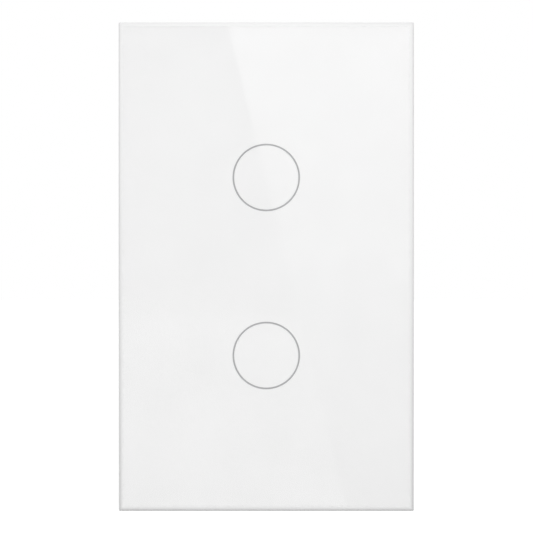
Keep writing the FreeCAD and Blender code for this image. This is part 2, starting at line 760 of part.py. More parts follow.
def biarc(start, start_way, end, end_way):
    """Two arcs that join two points and keep the direction at each."""
    across = end - start
    ways = start_way + end_way
    turned = 2 * (1 - start_way.dot(end_way))
    reach = (math.sqrt(across.dot(ways) ** 2 + turned * across.dot(across)) - across.dot(ways)) / turned
    middle = (start + end + (start_way - end_way) * reach) * 0.5
    arcs = []
    for a, corner, b in ((start, start + start_way * reach, middle), (middle, end - end_way * reach, end)):
        chord_middle = (a + b) * 0.5
        height = (chord_middle - corner).Length
        radius = reach * (a - chord_middle).Length / height
        top = corner + (chord_middle - corner) * ((math.hypot(reach, radius) - radius) / height)
        arcs.append(Part.Arc(a, top, b).toShape())
    return arcs


def touch_spring(side, key):
    """A coil of wire that stands on the touch board and meets the print on the glass."""
    wire = value("Sizes.spring_wire")
    radius = (value("Sizes.spring_diameter") - wire) / 2
    half_turns = 2 * int(value("Sizes.spring_turns"))
    bottom = value("Places.board_front - Sizes.spring_end_gap") - wire / 2
    top = value("Places.print_back + Sizes.spring_end_gap") + wire / 2
    step = (top - bottom) / half_turns
    centre = Vector(0, 0, value(key))

    def point(turned):
        angle = math.pi * turned
        return centre + Vector(radius * math.cos(angle), bottom + step * turned, radius * math.sin(angle))

    def way(turned):
        angle = math.pi * turned
        return Vector(-radius * math.sin(angle), step / math.pi, radius * math.cos(angle)).normalize()

    start, end = point(0), point(half_turns)
    edges = [Part.LineSegment(start - way(0) * wire, start).toShape()]
    for half in range(half_turns):
        edges += biarc(point(half), way(half), point(half + 1), way(half + 1))
    edges.append(Part.LineSegment(end, end + way(half_turns) * wire).toShape())
    path = Part.Wire(edges)
    tail, ahead = start - way(0) * wire, way(0)
    spoke = Vector(1, 0, 0).cross(ahead).normalize() * (wire / 2)
    turned = [FreeCAD.Rotation(ahead, 360 * side / WIRE_SIDES) for side in range(WIRE_SIDES + 1)]
    section = Part.makePolygon([tail + rotation.multVec(spoke) for rotation in turned])
    feature = doc.addObject("Part::Feature", f"{side}_touch_spring")
    feature.Label = f"{side}_touch_spring"
    feature.Shape = path.makePipeShell([section], True, False)
    sub_parts.append(feature)
    print(f"{side} touch spring: least gap between turns {least_gap(path, wire, half_turns):.2f} mm")


def least_gap(path, wire, half_turns):
    """The least distance between stretches of the wire that lie over half a turn apart."""
    per_half_turn = 12
    points = path.discretize(per_half_turn * half_turns)
    pairs = ((a, b) for i, a in enumerate(points) for b in points[i + per_half_turn:])
    return min((a - b).Length for a, b in pairs) - wire


def touch_board():
    body = new_body("touch_board")
    outlines = [rectangle("Places.board_width", "Places.board_height")] + pin_holes()
    add(body, XZ, "Places.board_front", "Sizes.touch_board_thickness", outlines, "board")
    cut_boss_passages(body, "Places.board_front", "Sizes.touch_board_thickness")


def cut_boss_passages(body, front, depth):
    """The square holes that let the housing's bosses through."""
    size = "Sizes.boss_tip + 2 * Sizes.board_hole_gap"
    squares = [rectangle(size, size, x, z) for x, z in mirrored("Places.column_x", "Places.column_z")]
    cut(body, XZ, front, depth, squares, "boss_passages")


def header_squares(size):
    """A square of the given size at each of the header's pins."""
    return [rectangle(size, size, f"{step} * Sizes.pin_pitch", "Places.header_z") for step in HEADER_PINS]


def pin_holes():
    return header_squares("Sizes.pin_size + 2 * Sizes.pin_hole_gap")


def header_strip():
    """The outline of the header and of its socket."""
    return rectangle(f"{len(HEADER_PINS)} * Sizes.pin_pitch", "Sizes.header_thickness",
                     v="Places.header_z")


def indicator_leds():
    body = new_body("indicator_leds")
    lamps = [
        rectangle("Sizes.led_size", "Sizes.led_size", x, f"{key} + ({z})")
        for key in KEYS.values()
        for x, z in mirrored("Places.leg_offset", "Places.leg_offset")
    ]
    add(body, XZ, "Places.board_front - Sizes.led_height", "Sizes.led_height", lamps, "lamps")


def touch_chip():
    body = new_body("touch_chip")
    front = "Places.board_front - Sizes.chip_height"
    add(body, XZ, front, "Sizes.chip_height", [rectangle("Sizes.chip_size", "Sizes.chip_size")], "package")
    bevel_edges(body, "Sizes.chip_chamfer", at_front(front), "front_edge")


def radio_module():
    """A small radio board on the back of the touch board."""
    body = new_body("radio_module")
    board = rectangle("Sizes.radio_width", "Sizes.radio_height", v="Sizes.radio_place")
    add(body, XZ, "Places.board_back", "Sizes.radio_thickness", [board], "radio_board")


def radio_shield():
    """A drawn can over the radio board, clear of its antenna strip."""
    body = new_body("radio_shield")
    width = "Sizes.radio_width - 2 * Sizes.shield_margin"
    height = "Sizes.radio_height - Sizes.antenna_strip - 2 * Sizes.shield_margin"
    z = "Sizes.radio_place - Sizes.antenna_strip / 2"
    front = "Places.board_back + Sizes.radio_thickness"
    add(body, XZ, front, "Sizes.shield_height", [rectangle(width, height, v=z)], "can")
    wall = "2 * Sizes.shield_wall"
    inside = rectangle(f"{width} - {wall}", f"{height} - {wall}", v=z)
    cut(body, XZ, front, "Sizes.shield_height - Sizes.shield_wall", [inside], "inside")


def board_header():
    body = new_body("board_header")
    add(body, XZ, "Places.board_back", "Sizes.header_depth", [header_strip()] + pin_holes(), "strip")


def header_pins():
    body = new_body("header_pins")
    front = "Places.board_front - Sizes.pin_stub"
    back = "Places.board_back + Sizes.header_depth + Sizes.pin_grip"
    add(body, XZ, front, f"{back} - ({front})", header_squares("Sizes.pin_size"), "pins")


def board_socket():
    body = new_body("board_socket")
    front = "Places.board_back + Sizes.header_depth + Sizes.socket_gap"
    height = f"Places.power_front - ({front})"
    add(body, XZ, front, height, [header_strip()], "strip")
    cut(body, XZ, front, f"{height} - Sizes.socket_bottom", pin_holes(), "pin_holes")


def insulating_sheet():
    body = new_body("insulating_sheet")
    outlines = [rectangle("Places.board_width", "Places.board_height")]
    margin = "2 * Sizes.sheet_margin"
    window = (f"Sizes.yoke_window_{size} - {margin}" for size in ("width", "height"))
    outlines.append(rectangle(*window))
    add(body, XZ, "Places.board_back", "Sizes.sheet_thickness", outlines, "sheet")
    cut_boss_passages(body, "Places.board_back", "Sizes.sheet_thickness")


def mounting_yoke():
    """A stamped steel plate with a window, slots for the wall screws and a tapped ground hole."""
    body = new_body("mounting_yoke")
    outlines = [
        bevelled("Places.yoke_width", "Places.yoke_height", "Sizes.yoke_corner"),
        rectangle("Sizes.yoke_window_width", "Sizes.yoke_window_height"),
        circle("Sizes.ground_screw_diameter + 2 * Sizes.ground_screw_gap",
               "-Sizes.ground_screw_across", "Places.ground_screw_z"),
    ]
    for end in (-1, 1):
        outlines.append(rounded("Sizes.wall_slot_length", "Sizes.wall_slot_width",
                                "(Sizes.wall_slot_width - Sizes.wall_slot_flat) / 2",
                                v=f"{end} * Places.wall_screw_z"))
    add(body, XZ, "Places.yoke_front", "Sizes.yoke_thickness", outlines, "plate")
    cut_boss_passages(body, "Places.yoke_front", "Sizes.yoke_thickness")


def ground_screw():
    body = new_body("ground_screw", "-Sizes.ground_screw_across", "0", "Places.ground_screw_z")
    length = "Sizes.yoke_thickness - Sizes.ground_screw_end_gap"
    add(body, XZ, f"-({length})", length, [circle("Sizes.ground_screw_diameter")], "shank")
    corner = "Sizes.ground_screw_head / 2 / cos(30)"
    hexagon = [(f"{corner} * cos({60 * k})", f"{corner} * sin({60 * k})") for k in range(6)]
    add(body, XZ, "0", "Sizes.ground_screw_head_height", [polygon(hexagon)], "head")
    slot = rectangle("2 * Sizes.ground_screw_head", "Sizes.wall_screw_slot")
    depth = "Sizes.ground_screw_slot_depth"
    cut(body, XZ, f"Sizes.ground_screw_head_height - {depth}", depth, [slot], "slot")


def wall_screws():
    """Two slotted machine screws with an undercut neck, so that the washers keep them in the yoke."""
    body = new_body("wall_screws")
    front = "Places.yoke_front"
    head_front = f"{front} - Sizes.wall_screw_head_height"
    head = "Sizes.wall_screw_head / 2"
    neck = "Sizes.wall_screw_neck / 2"
    thread = "Sizes.wall_screw_diameter / 2"
    profile = [
        ("0", head_front),
        (head, head_front),
        (head, front),
        (neck, front),
        (neck, "Sizes.wall_screw_neck_length"),
        (thread, "Sizes.wall_screw_neck_length"),
        (thread, "Sizes.wall_screw_length"),
        ("0", "Sizes.wall_screw_length"),
    ]
    for end in (-1, 1):
        turn(body, "0", f"{end} * Places.wall_screw_z", profile, "screw")
    slots = [
        rectangle("2 * Sizes.wall_screw_head", "Sizes.wall_screw_slot", v=f"{end} * Places.wall_screw_z")
        for end in (-1, 1)
    ]
    cut(body, XZ, head_front, "Sizes.wall_screw_slot_depth", slots, "slots")


def wall_screw_washers():
    body = new_body("wall_screw_washers")
    washers = []
    for end in (-1, 1):
        z = f"{end} * Places.wall_screw_z"
        washers.append(rectangle("Sizes.washer_size", "Sizes.washer_size", v=z))
        washers.append(circle("Sizes.wall_screw_neck + 2 * Sizes.washer_gap", v=z))
    add(body, XZ, "0", "Sizes.washer_thickness", washers, "washers")


def rear_box():
    """The moulded box in the wall: columns for the screws, board ribs, vents and wire entries."""
    body = new_body("rear_box")
    outer = rounded("Places.box_width", "Places.box_height", "Sizes.box_corner")
    add(body, XZ, "0", "Places.box_back", [outer], "walls")
    bevel_edges(body, "Sizes.box_back_bevel", at_back("Places.box_back"), "back_bevel")
    inner = rectangle("Places.box_inner_width", "Places.box_inner_height")
    cut(body, XZ, "0", "Places.box_floor", [inner], "inside")
    places = mirrored("Places.column_x", "Places.column_z")
    columns = [rectangle("Sizes.column_size", "Sizes.column_size", x, z) for x, z in places]
    add(body, XZ, "0", "Places.box_floor", columns, "columns")
    hole = "Sizes.housing_screw_diameter + 2 * Sizes.housing_screw_hole_gap"
    holes = [circle(hole, x, z) for x, z in SCREWED_COLUMNS]
    cut(body, XZ, "0", "Places.box_back", holes, "screw_holes")
    step = "2 * Sizes.corner_step"
    steps = [
        rectangle(step, step, "Places.box_width / -2", "Places.box_height / 2"),
        rectangle(step, step, "Places.box_width / 2", "Places.box_height / -2"),
    ]
    cut(body, XZ, "Places.screw_seat", "Sizes.corner_step_depth", steps, "screw_steps")
    ribs = [
        rectangle("Sizes.support_rib_reach", "Sizes.support_rib_width",
                  f"{side} * (Places.box_inner_width - Sizes.support_rib_reach) / 2",
                  f"{end} * Sizes.support_rib_place")
        for side in (-1, 1)
        for end in (-1, 1)
    ]
    height = "Places.box_floor - Places.power_back"
    add(body, XZ, "Places.power_back", height, ribs, "support_ribs")
    gap = "2 * Sizes.block_cutout_gap"
    top = "Places.block_bottom + Sizes.block_depth + Sizes.block_cutout_gap"
    bottom = "Places.box_inner_height / -2"
    cutout = rectangle(f"Places.block_width + {gap}", f"{top} - ({bottom})", v=f"({top} + {bottom}) / 2")
    cut(body, XZ, "Places.box_floor", "Sizes.box_wall", [cutout], "terminal_cutout")
    flare = "2 * Sizes.entry_flare"
    entries = [
        rectangle(f"Sizes.entry_width + {flare}", f"Sizes.wire_gap + {flare}",
                  f"{step} * Sizes.terminal_pitch", "Places.tongue_front - Sizes.wire_gap / 2")
        for step in POLES.values()
    ]
    cut(body, XY, "Places.box_height / -2", "Sizes.box_wall", entries, "wire_entries")
    middle = "(Places.power_back + Places.box_floor) / 2"
    vents = [
        rectangle("Sizes.vent_length", "Sizes.vent_width", middle,
                  f"Sizes.vent_place + {step} * Sizes.vent_pitch")
        for step in (0, 1, 2, 3)
    ]
    cut(body, YZ, "Places.box_width / -2", "Places.box_width", vents, "vents")


def housing_screws():
    """Two thread-forming screws on a diagonal, from the back of the box into the housing's bosses."""
    body = new_body("housing_screws")
    head = "Sizes.housing_screw_head / 2"
    shank = "Sizes.housing_screw_diameter / 2"
    seat = "Places.screw_seat"
    head_back = f"{seat} + Sizes.housing_screw_head_height"
    tip = "Sizes.housing_screw_tip_gap - Sizes.boss_hole_depth"
    profile = [
        ("0", tip),
        (shank, tip),
        (shank, seat),
        (head, seat),
        (head, head_back),
        ("0", head_back),
    ]
    for x, z in SCREWED_COLUMNS:
        turn(body, x, z, profile, "screw")


def power_board():
    """The rear board, notched at the four columns and drilled for relays and terminals."""
    body = new_body("power_board")
    board = [rectangle("Places.power_width", "Places.power_height")]
    add(body, XZ, "Places.power_front", "Sizes.power_board_thickness", board, "board")
    notches = [
        rectangle("Places.column_notch", "Places.column_notch", x, z)
        for x, z in mirrored("Places.column_x", "Places.column_z")
    ]
    cut(body, XZ, "Places.power_front", "Sizes.power_board_thickness", notches, "column_notches")
    gap = "2 * Sizes.lead_hole_gap"
    holes = [
        rectangle(f"{terminal_leg_width()} + {gap}", f"Sizes.tongue_thickness + {gap}",
                  f"{step} * Sizes.terminal_pitch", "Places.contact_leg_z + Sizes.tongue_thickness / 2")
        for step in POLES.values()
    ]
    for side in RELAYS.values():
        for z in relay_pin_rows():
            holes.append(rectangle(f"Sizes.relay_pin_width + {gap}", f"Sizes.contact_bar_thickness + {gap}",
                                   relay_x(side), f"Places.relay_z + {z}"))
    cut(body, XZ, "Places.power_front", "Sizes.power_board_thickness", holes, "lead_holes")


def terminal_leg_width():
    return "(Sizes.cage_width - 2 * Sizes.cage_wall - 2 * Sizes.tongue_gap)"


def relay_x(side):
    return f"{side} * (Sizes.relay_width + Sizes.relay_side_gap) / 2"


def relay_pin_rows():
    """The middle of the leads of the moving and of the fixed contact, along the relay."""
    return (
        "(Places.spring_far - Sizes.contact_bar_thickness / 2)",
        "(Places.bar_far - Sizes.contact_bar_thickness / 2)",
    )


def transformer():
    """A ferrite core with a coil round its middle leg."""
    x, z = "Places.power_width / -4", "Places.supply_high"
    core = new_body("transformer_core", x, "Places.power_back", z)
    front = "Sizes.core_height / 2"
    outline = rectangle("Sizes.core_width", "Sizes.core_height", v=front)
    middle = "Sizes.core_depth / -2"
    add(core, XY, middle, "Sizes.core_depth", [outline], "block")
    window = "(Sizes.core_width - Sizes.core_leg - 2 * Sizes.core_yoke) / 2"
    offset = f"(Sizes.core_leg + {window}) / 2"
    windows = [
        rectangle(window, "Sizes.core_height - 2 * Sizes.core_yoke", f"{side} * {offset}", front)
        for side in (-1, 1)
    ]
    cut(core, XY, middle, "Sizes.core_depth", windows, "windows")
    coil = new_body("transformer_coil", x, "Places.power_back", z)
    hole_width = "Sizes.core_leg + 2 * Sizes.coil_gap"
    hole_height = "Sizes.core_depth + 2 * Sizes.coil_gap"
    wall = "2 * Sizes.coil_wall"
    turns = [
        rectangle(f"{hole_width} + {wall}", f"{hole_height} + {wall}"),
        rectangle(hole_width, hole_height),
    ]
    length = "Sizes.core_height - 2 * Sizes.core_yoke - 2 * Sizes.coil_gap"
    add(coil, XZ, "Sizes.core_yoke + Sizes.coil_gap", length, turns, "turns")


def smoothing_capacitors():
    x, z = "Places.power_width / 4", "Places.supply_high"
    body = new_body("smoothing_capacitors", x, "Places.power_back", z)
    cans = [circle("Sizes.smoothing_diameter", f"{side} * Sizes.smoothing_pitch / 2") for side in (-1, 1)]
    add(body, XZ, "0", "Sizes.smoothing_height", cans, "cans")


def supply_parts():
    """The small cased parts of the supply, side by side on the power board."""
    left = "Places.power_width / -2 + Sizes.supply_gap"
    for label, size in SUPPLY_PARTS.items():
        width = f"Sizes.{size}_width"
        body = new_body(label, f"{left} + {width} / 2", "Places.power_back", "Places.supply_low")
        add(body, XZ, "0", f"Sizes.{size}_height", [rectangle(width, f"Sizes.{size}_depth")], "case")
        left = f"{left} + {width} + Sizes.supply_gap"


def terminal_block():
    """The moulded block: for each pole a wire entry, a cavity for the cage and a well for the screw."""
    body = new_body("terminal_block")
    block = rectangle("Places.block_width", "Sizes.block_depth", v="Places.block_z")
    height = "Places.block_back - Places.power_back"
    add(body, XZ, "Places.power_back", height, [block], "block")
    steps = [f"{step} * Sizes.terminal_pitch" for step in POLES.values()]
    z = "Places.terminal_z"
    cavities = [rectangle("Places.cavity_width", "Places.cavity_depth", x, z) for x in steps]
    cavity_front = "Places.power_back + Sizes.block_floor"
    cut(body, XZ, cavity_front, f"Places.ledge_front - ({cavity_front})", cavities, "cavities")
    shaft = "Sizes.terminal_screw_diameter + 2 * Sizes.terminal_shaft_gap"
    shafts = [rectangle(shaft, shaft, x, z) for x in steps]
    cut(body, XZ, "Places.ledge_front", "Sizes.ledge_thickness", shafts, "shaft_holes")
    wells = [circle("Sizes.terminal_screw_head + 2 * Sizes.terminal_head_gap", x, z) for x in steps]
    cut(body, XZ, "Places.ledge_back", "Places.block_back - Places.ledge_back", wells, "screw_wells")
    entries = [
        rectangle("Sizes.entry_width", "Sizes.wire_gap", x, "Places.tongue_front - Sizes.wire_gap / 2")
        for x in steps
    ]
    cut(body, XY, "Places.block_bottom", "Sizes.block_entry_wall", entries, "wire_entries")
    gap = "2 * Sizes.contact_slot_gap"
    width = f"{terminal_leg_width()} + {gap}"
    leg = "Places.contact_leg_z + Sizes.tongue_thickness / 2"
    legs = [rectangle(width, f"Sizes.tongue_thickness + {gap}", x, leg) for x in steps]
    slot_back = "Places.tongue_back + Sizes.contact_slot_gap"
    cut(body, XZ, "Places.power_back", f"{slot_back} - Places.power_back", legs, "leg_slots")
    tongue_y = "(Places.tongue_front + Places.tongue_back) / 2"
    tongues = [rectangle(width, f"Sizes.tongue_thickness + {gap}", x, tongue_y) for x in steps]
    wall_front = "Places.cavity_bottom + Places.cavity_depth"
    cut(body, XY, wall_front, f"Places.contact_leg_z - ({wall_front})", tongues, "tongue_slots")


def terminal_contacts():
    """Four current bars: a tongue under the screw's tip, and a leg down through the power board."""
    body = new_body("terminal_contacts")
    tongue_z = "Places.cavity_bottom + Sizes.cage_gap"
    leg_far = "Places.contact_leg_z + Sizes.tongue_thickness"
    steps = [f"{step} * Sizes.terminal_pitch" for step in POLES.values()]
    length = f"{leg_far} - ({tongue_z})"
    tongues = [
        rectangle(terminal_leg_width(), length, x, f"({leg_far} + {tongue_z}) / 2") for x in steps
    ]
    add(body, XZ, "Places.tongue_front", "Sizes.tongue_thickness", tongues, "tongues")
    leg = "Places.contact_leg_z + Sizes.tongue_thickness / 2"
    legs = [rectangle(terminal_leg_width(), "Sizes.tongue_thickness", x, leg) for x in steps]
    front = "Places.power_front - Sizes.lead_stub"
    add(body, XZ, front, f"Places.tongue_front - ({front})", legs, "legs")


def terminal_screw(number, x):
    """The clamp screw: it turns in place, with its tip on the tongue and its head over the ledge."""
    body = new_body(f"terminal_screw_{number}", x, "0", "Places.terminal_z")
    tip = "Places.tongue_back + Sizes.terminal_screw_gap"
    shank = [circle("Sizes.terminal_screw_diameter")]
    add(body, XZ, tip, f"Places.terminal_head_front - ({tip})", shank, "shank")
    head = [circle("Sizes.terminal_screw_head")]
    add(body, XZ, "Places.terminal_head_front", "Sizes.terminal_screw_head_height", head, "head")
    slot = rectangle("2 * Sizes.terminal_screw_head", "Sizes.terminal_screw_slot")
    depth = "Sizes.terminal_screw_slot_depth"
    cut(body, XZ, f"Places.terminal_head_back - {depth}", depth, [slot], "slot")


def terminal_cage(number, x):
    """The clamp cage: a loop of brass that the screw draws towards its head, wire and all."""
    body = new_body(f"terminal_cage_{number}", x, "0", "Places.terminal_z")
    height = "Places.cage_back - Places.cage_front"
    inner_height = "Places.roof_front - Places.cage_front - Sizes.cage_floor"
    loop = [
        rectangle("Sizes.cage_width", height, v="(Places.cage_front + Places.cage_back) / 2"),
        rectangle("Sizes.cage_width - 2 * Sizes.cage_wall", inner_height,
                  v="(Places.cage_front + Sizes.cage_floor + Places.roof_front) / 2"),
    ]
    add(body, XY, "Sizes.cage_depth / -2", "Sizes.cage_depth", loop, "loop")
    hole = circle("Sizes.terminal_screw_diameter + 2 * Sizes.terminal_screw_gap")
    cut(body, XZ, "Places.roof_front", "Sizes.cage_roof", [hole], "screw_hole")


def relay(number, side):
    """A relay with its coil, iron, hinged armature and contacts under a moulded case."""
    place = (relay_x(side), "Places.power_back", "Places.relay_z")
    relay_case(new_body(f"relay_{number}_case", *place))
    relay_base(new_body(f"relay_{number}_base", *place))
    relay_core(new_body(f"relay_{number}_core", *place))
    relay_bobbin(new_body(f"relay_{number}_bobbin", *place))
    relay_winding(new_body(f"relay_{number}_winding", *place))
    relay_contacts(new_body(f"relay_{number}_contacts", *place))
    relay_armature(new_body(f"relay_{number}_armature", *place))


def relay_case(body):
    add(body, XZ, "0", "Sizes.relay_height", [rectangle("Sizes.relay_width", "Sizes.relay_length")], "case")
    round_edges(body, "Sizes.relay_round", at_back("Sizes.relay_height"), "case_round")
    wall = "2 * Sizes.relay_wall"
    inside = rectangle(f"Sizes.relay_width - {wall}", f"Sizes.relay_length - {wall}")
    cut(body, XZ, "0", "Sizes.relay_height - Sizes.relay_wall", [inside], "inside")


def relay_base(body):
    margin = "2 * (Sizes.relay_wall + Sizes.relay_base_gap)"
    outlines = [rectangle(f"Sizes.relay_width - {margin}", f"Sizes.relay_length - {margin}")]
    gap = "2 * Sizes.lead_hole_gap"
    for z in relay_pin_rows():
        outlines.append(rectangle(f"Sizes.relay_pin_width + {gap}",
                                  f"Sizes.contact_bar_thickness + {gap}", v=z))
    add(body, XZ, "0", "Sizes.relay_base_thickness", outlines, "base")


def relay_core(body):
    """The iron: a foot under the coil, the pole through it, and a leg up to the armature's hinge."""
    near = "-Sizes.coil_place - Sizes.bobbin_size / 2"
    foot = rectangle("Sizes.leg_width", f"Places.leg_far - ({near})", v=f"(Places.leg_far + {near}) / 2")
    add(body, XZ, "Places.coil_front", "Sizes.relay_iron", [foot], "foot")
    leg = rectangle("Sizes.leg_width", "Sizes.relay_iron", v="(Places.leg_near + Places.leg_far) / 2")
    add(body, XZ, "Places.coil_front", "Places.leg_back - Places.coil_front", [leg], "leg")
    pole = rectangle("Sizes.pole_size", "Sizes.pole_size", v="-Sizes.coil_place")
    add(body, XZ, "Places.coil_front", "Places.pole_back - Places.coil_front", [pole], "pole")
    cap = rectangle("Sizes.pole_cap", "Sizes.pole_cap", v="-Sizes.coil_place")
    add(body, XZ, "Places.pole_back - Sizes.relay_iron", "Sizes.relay_iron", [cap], "pole_cap")


def relay_bobbin(body):
    """A moulded spool on the pole, with a flange at each end."""
    inside = "Sizes.pole_size + 2 * Sizes.bobbin_gap"
    outside = f"{inside} + 2 * Sizes.bobbin_wall"
    hole = rectangle(inside, inside, v="-Sizes.coil_place")
    flange = [rectangle("Sizes.bobbin_size", "Sizes.bobbin_size", v="-Sizes.coil_place"), hole]
    tube = [rectangle(outside, outside, v="-Sizes.coil_place"), hole]
    add(body, XZ, "Places.bobbin_front", "Sizes.bobbin_wall", flange, "front_flange")
    add(body, XZ, "Places.bobbin_front", "Sizes.bobbin_height", tube, "tube")
    back = "Places.bobbin_front + Sizes.bobbin_height - Sizes.bobbin_wall"
    add(body, XZ, back, "Sizes.bobbin_wall", flange, "back_flange")


def relay_winding(body):
    inside = "Sizes.pole_size + 4 * Sizes.bobbin_gap + 2 * Sizes.bobbin_wall"
    outside = "Sizes.bobbin_size - 2 * Sizes.winding_inset"
    turns = [
        rectangle(outside, outside, v="-Sizes.coil_place"),
        rectangle(inside, inside, v="-Sizes.coil_place"),
    ]
    front = "Places.bobbin_front + Sizes.bobbin_wall + Sizes.bobbin_gap"
    length = "Sizes.bobbin_height - 2 * Sizes.bobbin_wall - 2 * Sizes.bobbin_gap"
    add(body, XZ, front, length, turns, "turns")


def relay_contacts(body):
    """The moving contact spring and the fixed contact bar, with their contact pads and leads."""
    for near, far, pad_near in (
        ("Places.spring_near", "Places.spring_far", "Places.spring_far"),
        ("Places.bar_near", "Places.bar_far", "Places.bar_near - Sizes.contact_pad_height"),
    ):
        blade = rectangle("Sizes.contact_width", f"{far} - {near}", v=f"({near} + {far}) / 2")
        front = "Sizes.relay_base_thickness"
        add(body, XZ, front, f"Sizes.contact_height - {front}", [blade], "blade")
        lead = rectangle("Sizes.relay_pin_width", "Sizes.contact_bar_thickness",
                         v=f"{far} - Sizes.contact_bar_thickness / 2")
        add(body, XZ, "-Places.lead_length", f"Places.lead_length + {front}", [lead], "lead")
        pad = rectangle("Sizes.contact_pad", "Sizes.contact_pad", v="Places.pad_y")
        add(body, XY, pad_near, "Sizes.contact_pad_height", [pad], "pad")


def relay_armature(body):
    """The hinged plate over the pole, with an arm that pushes the contact spring."""
    near = "-Sizes.coil_place - Sizes.pole_cap / 2"
    plate = rectangle("Sizes.armature_width", f"Places.arm_far - ({near})",
                      v=f"(Places.arm_far + {near}) / 2")
    add(body, XZ, "Places.armature_front", "Sizes.armature_thickness", [plate], "plate")
    arm = rectangle("Sizes.contact_width", "Sizes.armature_thickness",
                    v="(Places.arm_near + Places.arm_far) / 2")
    front = "Places.armature_back - Sizes.armature_arm_length"
    add(body, XZ, front, "Sizes.armature_arm_length", [arm], "arm")


glass_panel()
glass_print()
mounting_tape()
panel_frame()
front_housing()
for side, key in KEYS.items():
    key_ring(side, key)
    light_guide(side, key)
    touch_spring(side, key)
touch_board()
indicator_leds()
touch_chip()
radio_module()
radio_shield()
board_header()
header_pins()
board_socket()
insulating_sheet()
mounting_yoke()
ground_screw()
wall_screws()
wall_screw_washers()
rear_box()
housing_screws()
power_board()
transformer()
smoothing_capacitors()
supply_parts()
terminal_block()
terminal_contacts()
for number, step in POLES.items():
    terminal_screw(number, f"{step} * Sizes.terminal_pitch")
    terminal_cage(number, f"{step} * Sizes.terminal_pitch")
for number, side in RELAYS.items():
    relay(number, side)

doc.recompute()
for item in doc.Objects:
    if "Invalid" in item.State or "Error" in item.State:
        raise ValueError(f"{item.Label} did not build")
for sub_part in sub_parts:
    if sub_part.Shape.isNull() or not sub_part.Shape.isValid():
        raise ValueError(f"{sub_part.Label} has no valid shape")

os.makedirs("parts", exist_ok=True)
for sub_part in sub_parts:
    sub_part.Shape.exportStep(f"parts/{sub_part.Label}.step")
print(f"{len(sub_parts)} sub-parts written")
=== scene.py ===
import math

import bmesh
import bpy
from mathutils import Matrix


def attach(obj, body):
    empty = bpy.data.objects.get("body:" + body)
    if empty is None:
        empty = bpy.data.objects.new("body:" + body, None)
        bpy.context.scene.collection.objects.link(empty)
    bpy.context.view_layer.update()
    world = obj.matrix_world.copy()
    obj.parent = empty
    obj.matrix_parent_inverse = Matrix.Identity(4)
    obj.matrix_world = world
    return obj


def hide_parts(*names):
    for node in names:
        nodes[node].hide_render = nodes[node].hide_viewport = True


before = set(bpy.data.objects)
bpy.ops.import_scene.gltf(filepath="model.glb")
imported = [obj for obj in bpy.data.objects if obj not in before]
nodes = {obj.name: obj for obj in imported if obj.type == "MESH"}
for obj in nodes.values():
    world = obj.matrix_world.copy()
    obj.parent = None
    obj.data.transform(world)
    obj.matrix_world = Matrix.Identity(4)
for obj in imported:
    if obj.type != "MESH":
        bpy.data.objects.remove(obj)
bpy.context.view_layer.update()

scene = bpy.context.scene
scene.view_settings.view_transform = "Standard"


# The camera stands square in front of the panel, about half a metre from the glass, with a long lens, so
# that the two keys look round and no side of the glass shows. It stands a hair to the right of the middle.

glass_front = -0.0104
camera_to_glass = 0.5444
camera_offset = 0.00005
lens = bpy.data.cameras.new("photo_camera")
lens.lens = 150
lens.sensor_width = 36
lens.clip_start = 0.01
camera = bpy.data.objects.new("photo_camera", lens)
camera.location = (camera_offset, glass_front - camera_to_glass, 0)
camera.rotation_euler = (math.radians(90), 0, 0)
scene.collection.objects.link(camera)
scene.camera = camera


# The floor is a wide sheet of white paper under the switch. It shows white to the camera and keeps the
# switch's shadow. The room round it is a plain white tent, with a large softbox high in front.


class Signal:
    """A value on its way through a material. Sums, products and comparisons of it add Math nodes."""

    def __init__(self, tree, socket=None):
        self.tree = tree
        self.socket = socket

    def node(self, kind, settings, inputs, output=0):
        """Adds a node of this kind, with its settings first and then its values or links."""
        made = self.tree.nodes.new("ShaderNode" + kind)
        for name, value in settings.items():
            setattr(made, name, value)
        for name, value in inputs.items():
            if isinstance(value, Signal):
                self.tree.links.new(value.socket, made.inputs[name])
            else:
                made.inputs[name].default_value = value
        return Signal(self.tree, None if output is None else made.outputs[output])

    def math(self, operation, *values):
        return self.node("Math", {"operation": operation}, dict(enumerate(values)))

    def __add__(self, other):
        return self.math("ADD", self, other)

    def __sub__(self, other):
        return self.math("SUBTRACT", self, other)

    def __rsub__(self, other):
        return self.math("SUBTRACT", other, self)

    def __mul__(self, other):
        return self.math("MULTIPLY", self, other)

    def __gt__(self, other):
        return self.math("GREATER_THAN", self, other)

    def __abs__(self):
        return self.math("ABSOLUTE", self)

    __radd__ = __add__
    __rmul__ = __mul__


def start_material(name):
    """A new material, and the signal that its nodes start from."""
    material = bpy.data.materials.new(name)
    material.use_nodes = True
    material.node_tree.nodes.clear()
    return material, Signal(material.node_tree)


def where(start):
    """The place on the piece, in metres."""
    return start.node("TexCoord", {}, {}, "Object")


def seen_or_mirrored(start):
    """1 for what the camera sees, straight or in a mirror or through glass, and 0 for other light."""
    camera, glossy, transmission = [start.node("LightPath", {}, {}, f"Is {kind} Ray")
                                    for kind in ("Camera", "Glossy", "Transmission")]
    return start.math("MAXIMUM", camera, start.math("MAXIMUM", glossy, transmission))


floor_level, floor_reach = -0.1, 6
paper_grey = (0.42, 0.42, 0.42, 1)
paper, start = start_material("floor_paper")
fibres = start.node("TexNoise", {}, {"Vector": where(start), "Scale": 900.0})
rough = start.node("Bump", {}, {"Height": fibres, "Distance": 0.00002})
dull = start.node("BsdfDiffuse", {}, {"Color": paper_grey, "Normal": rough})

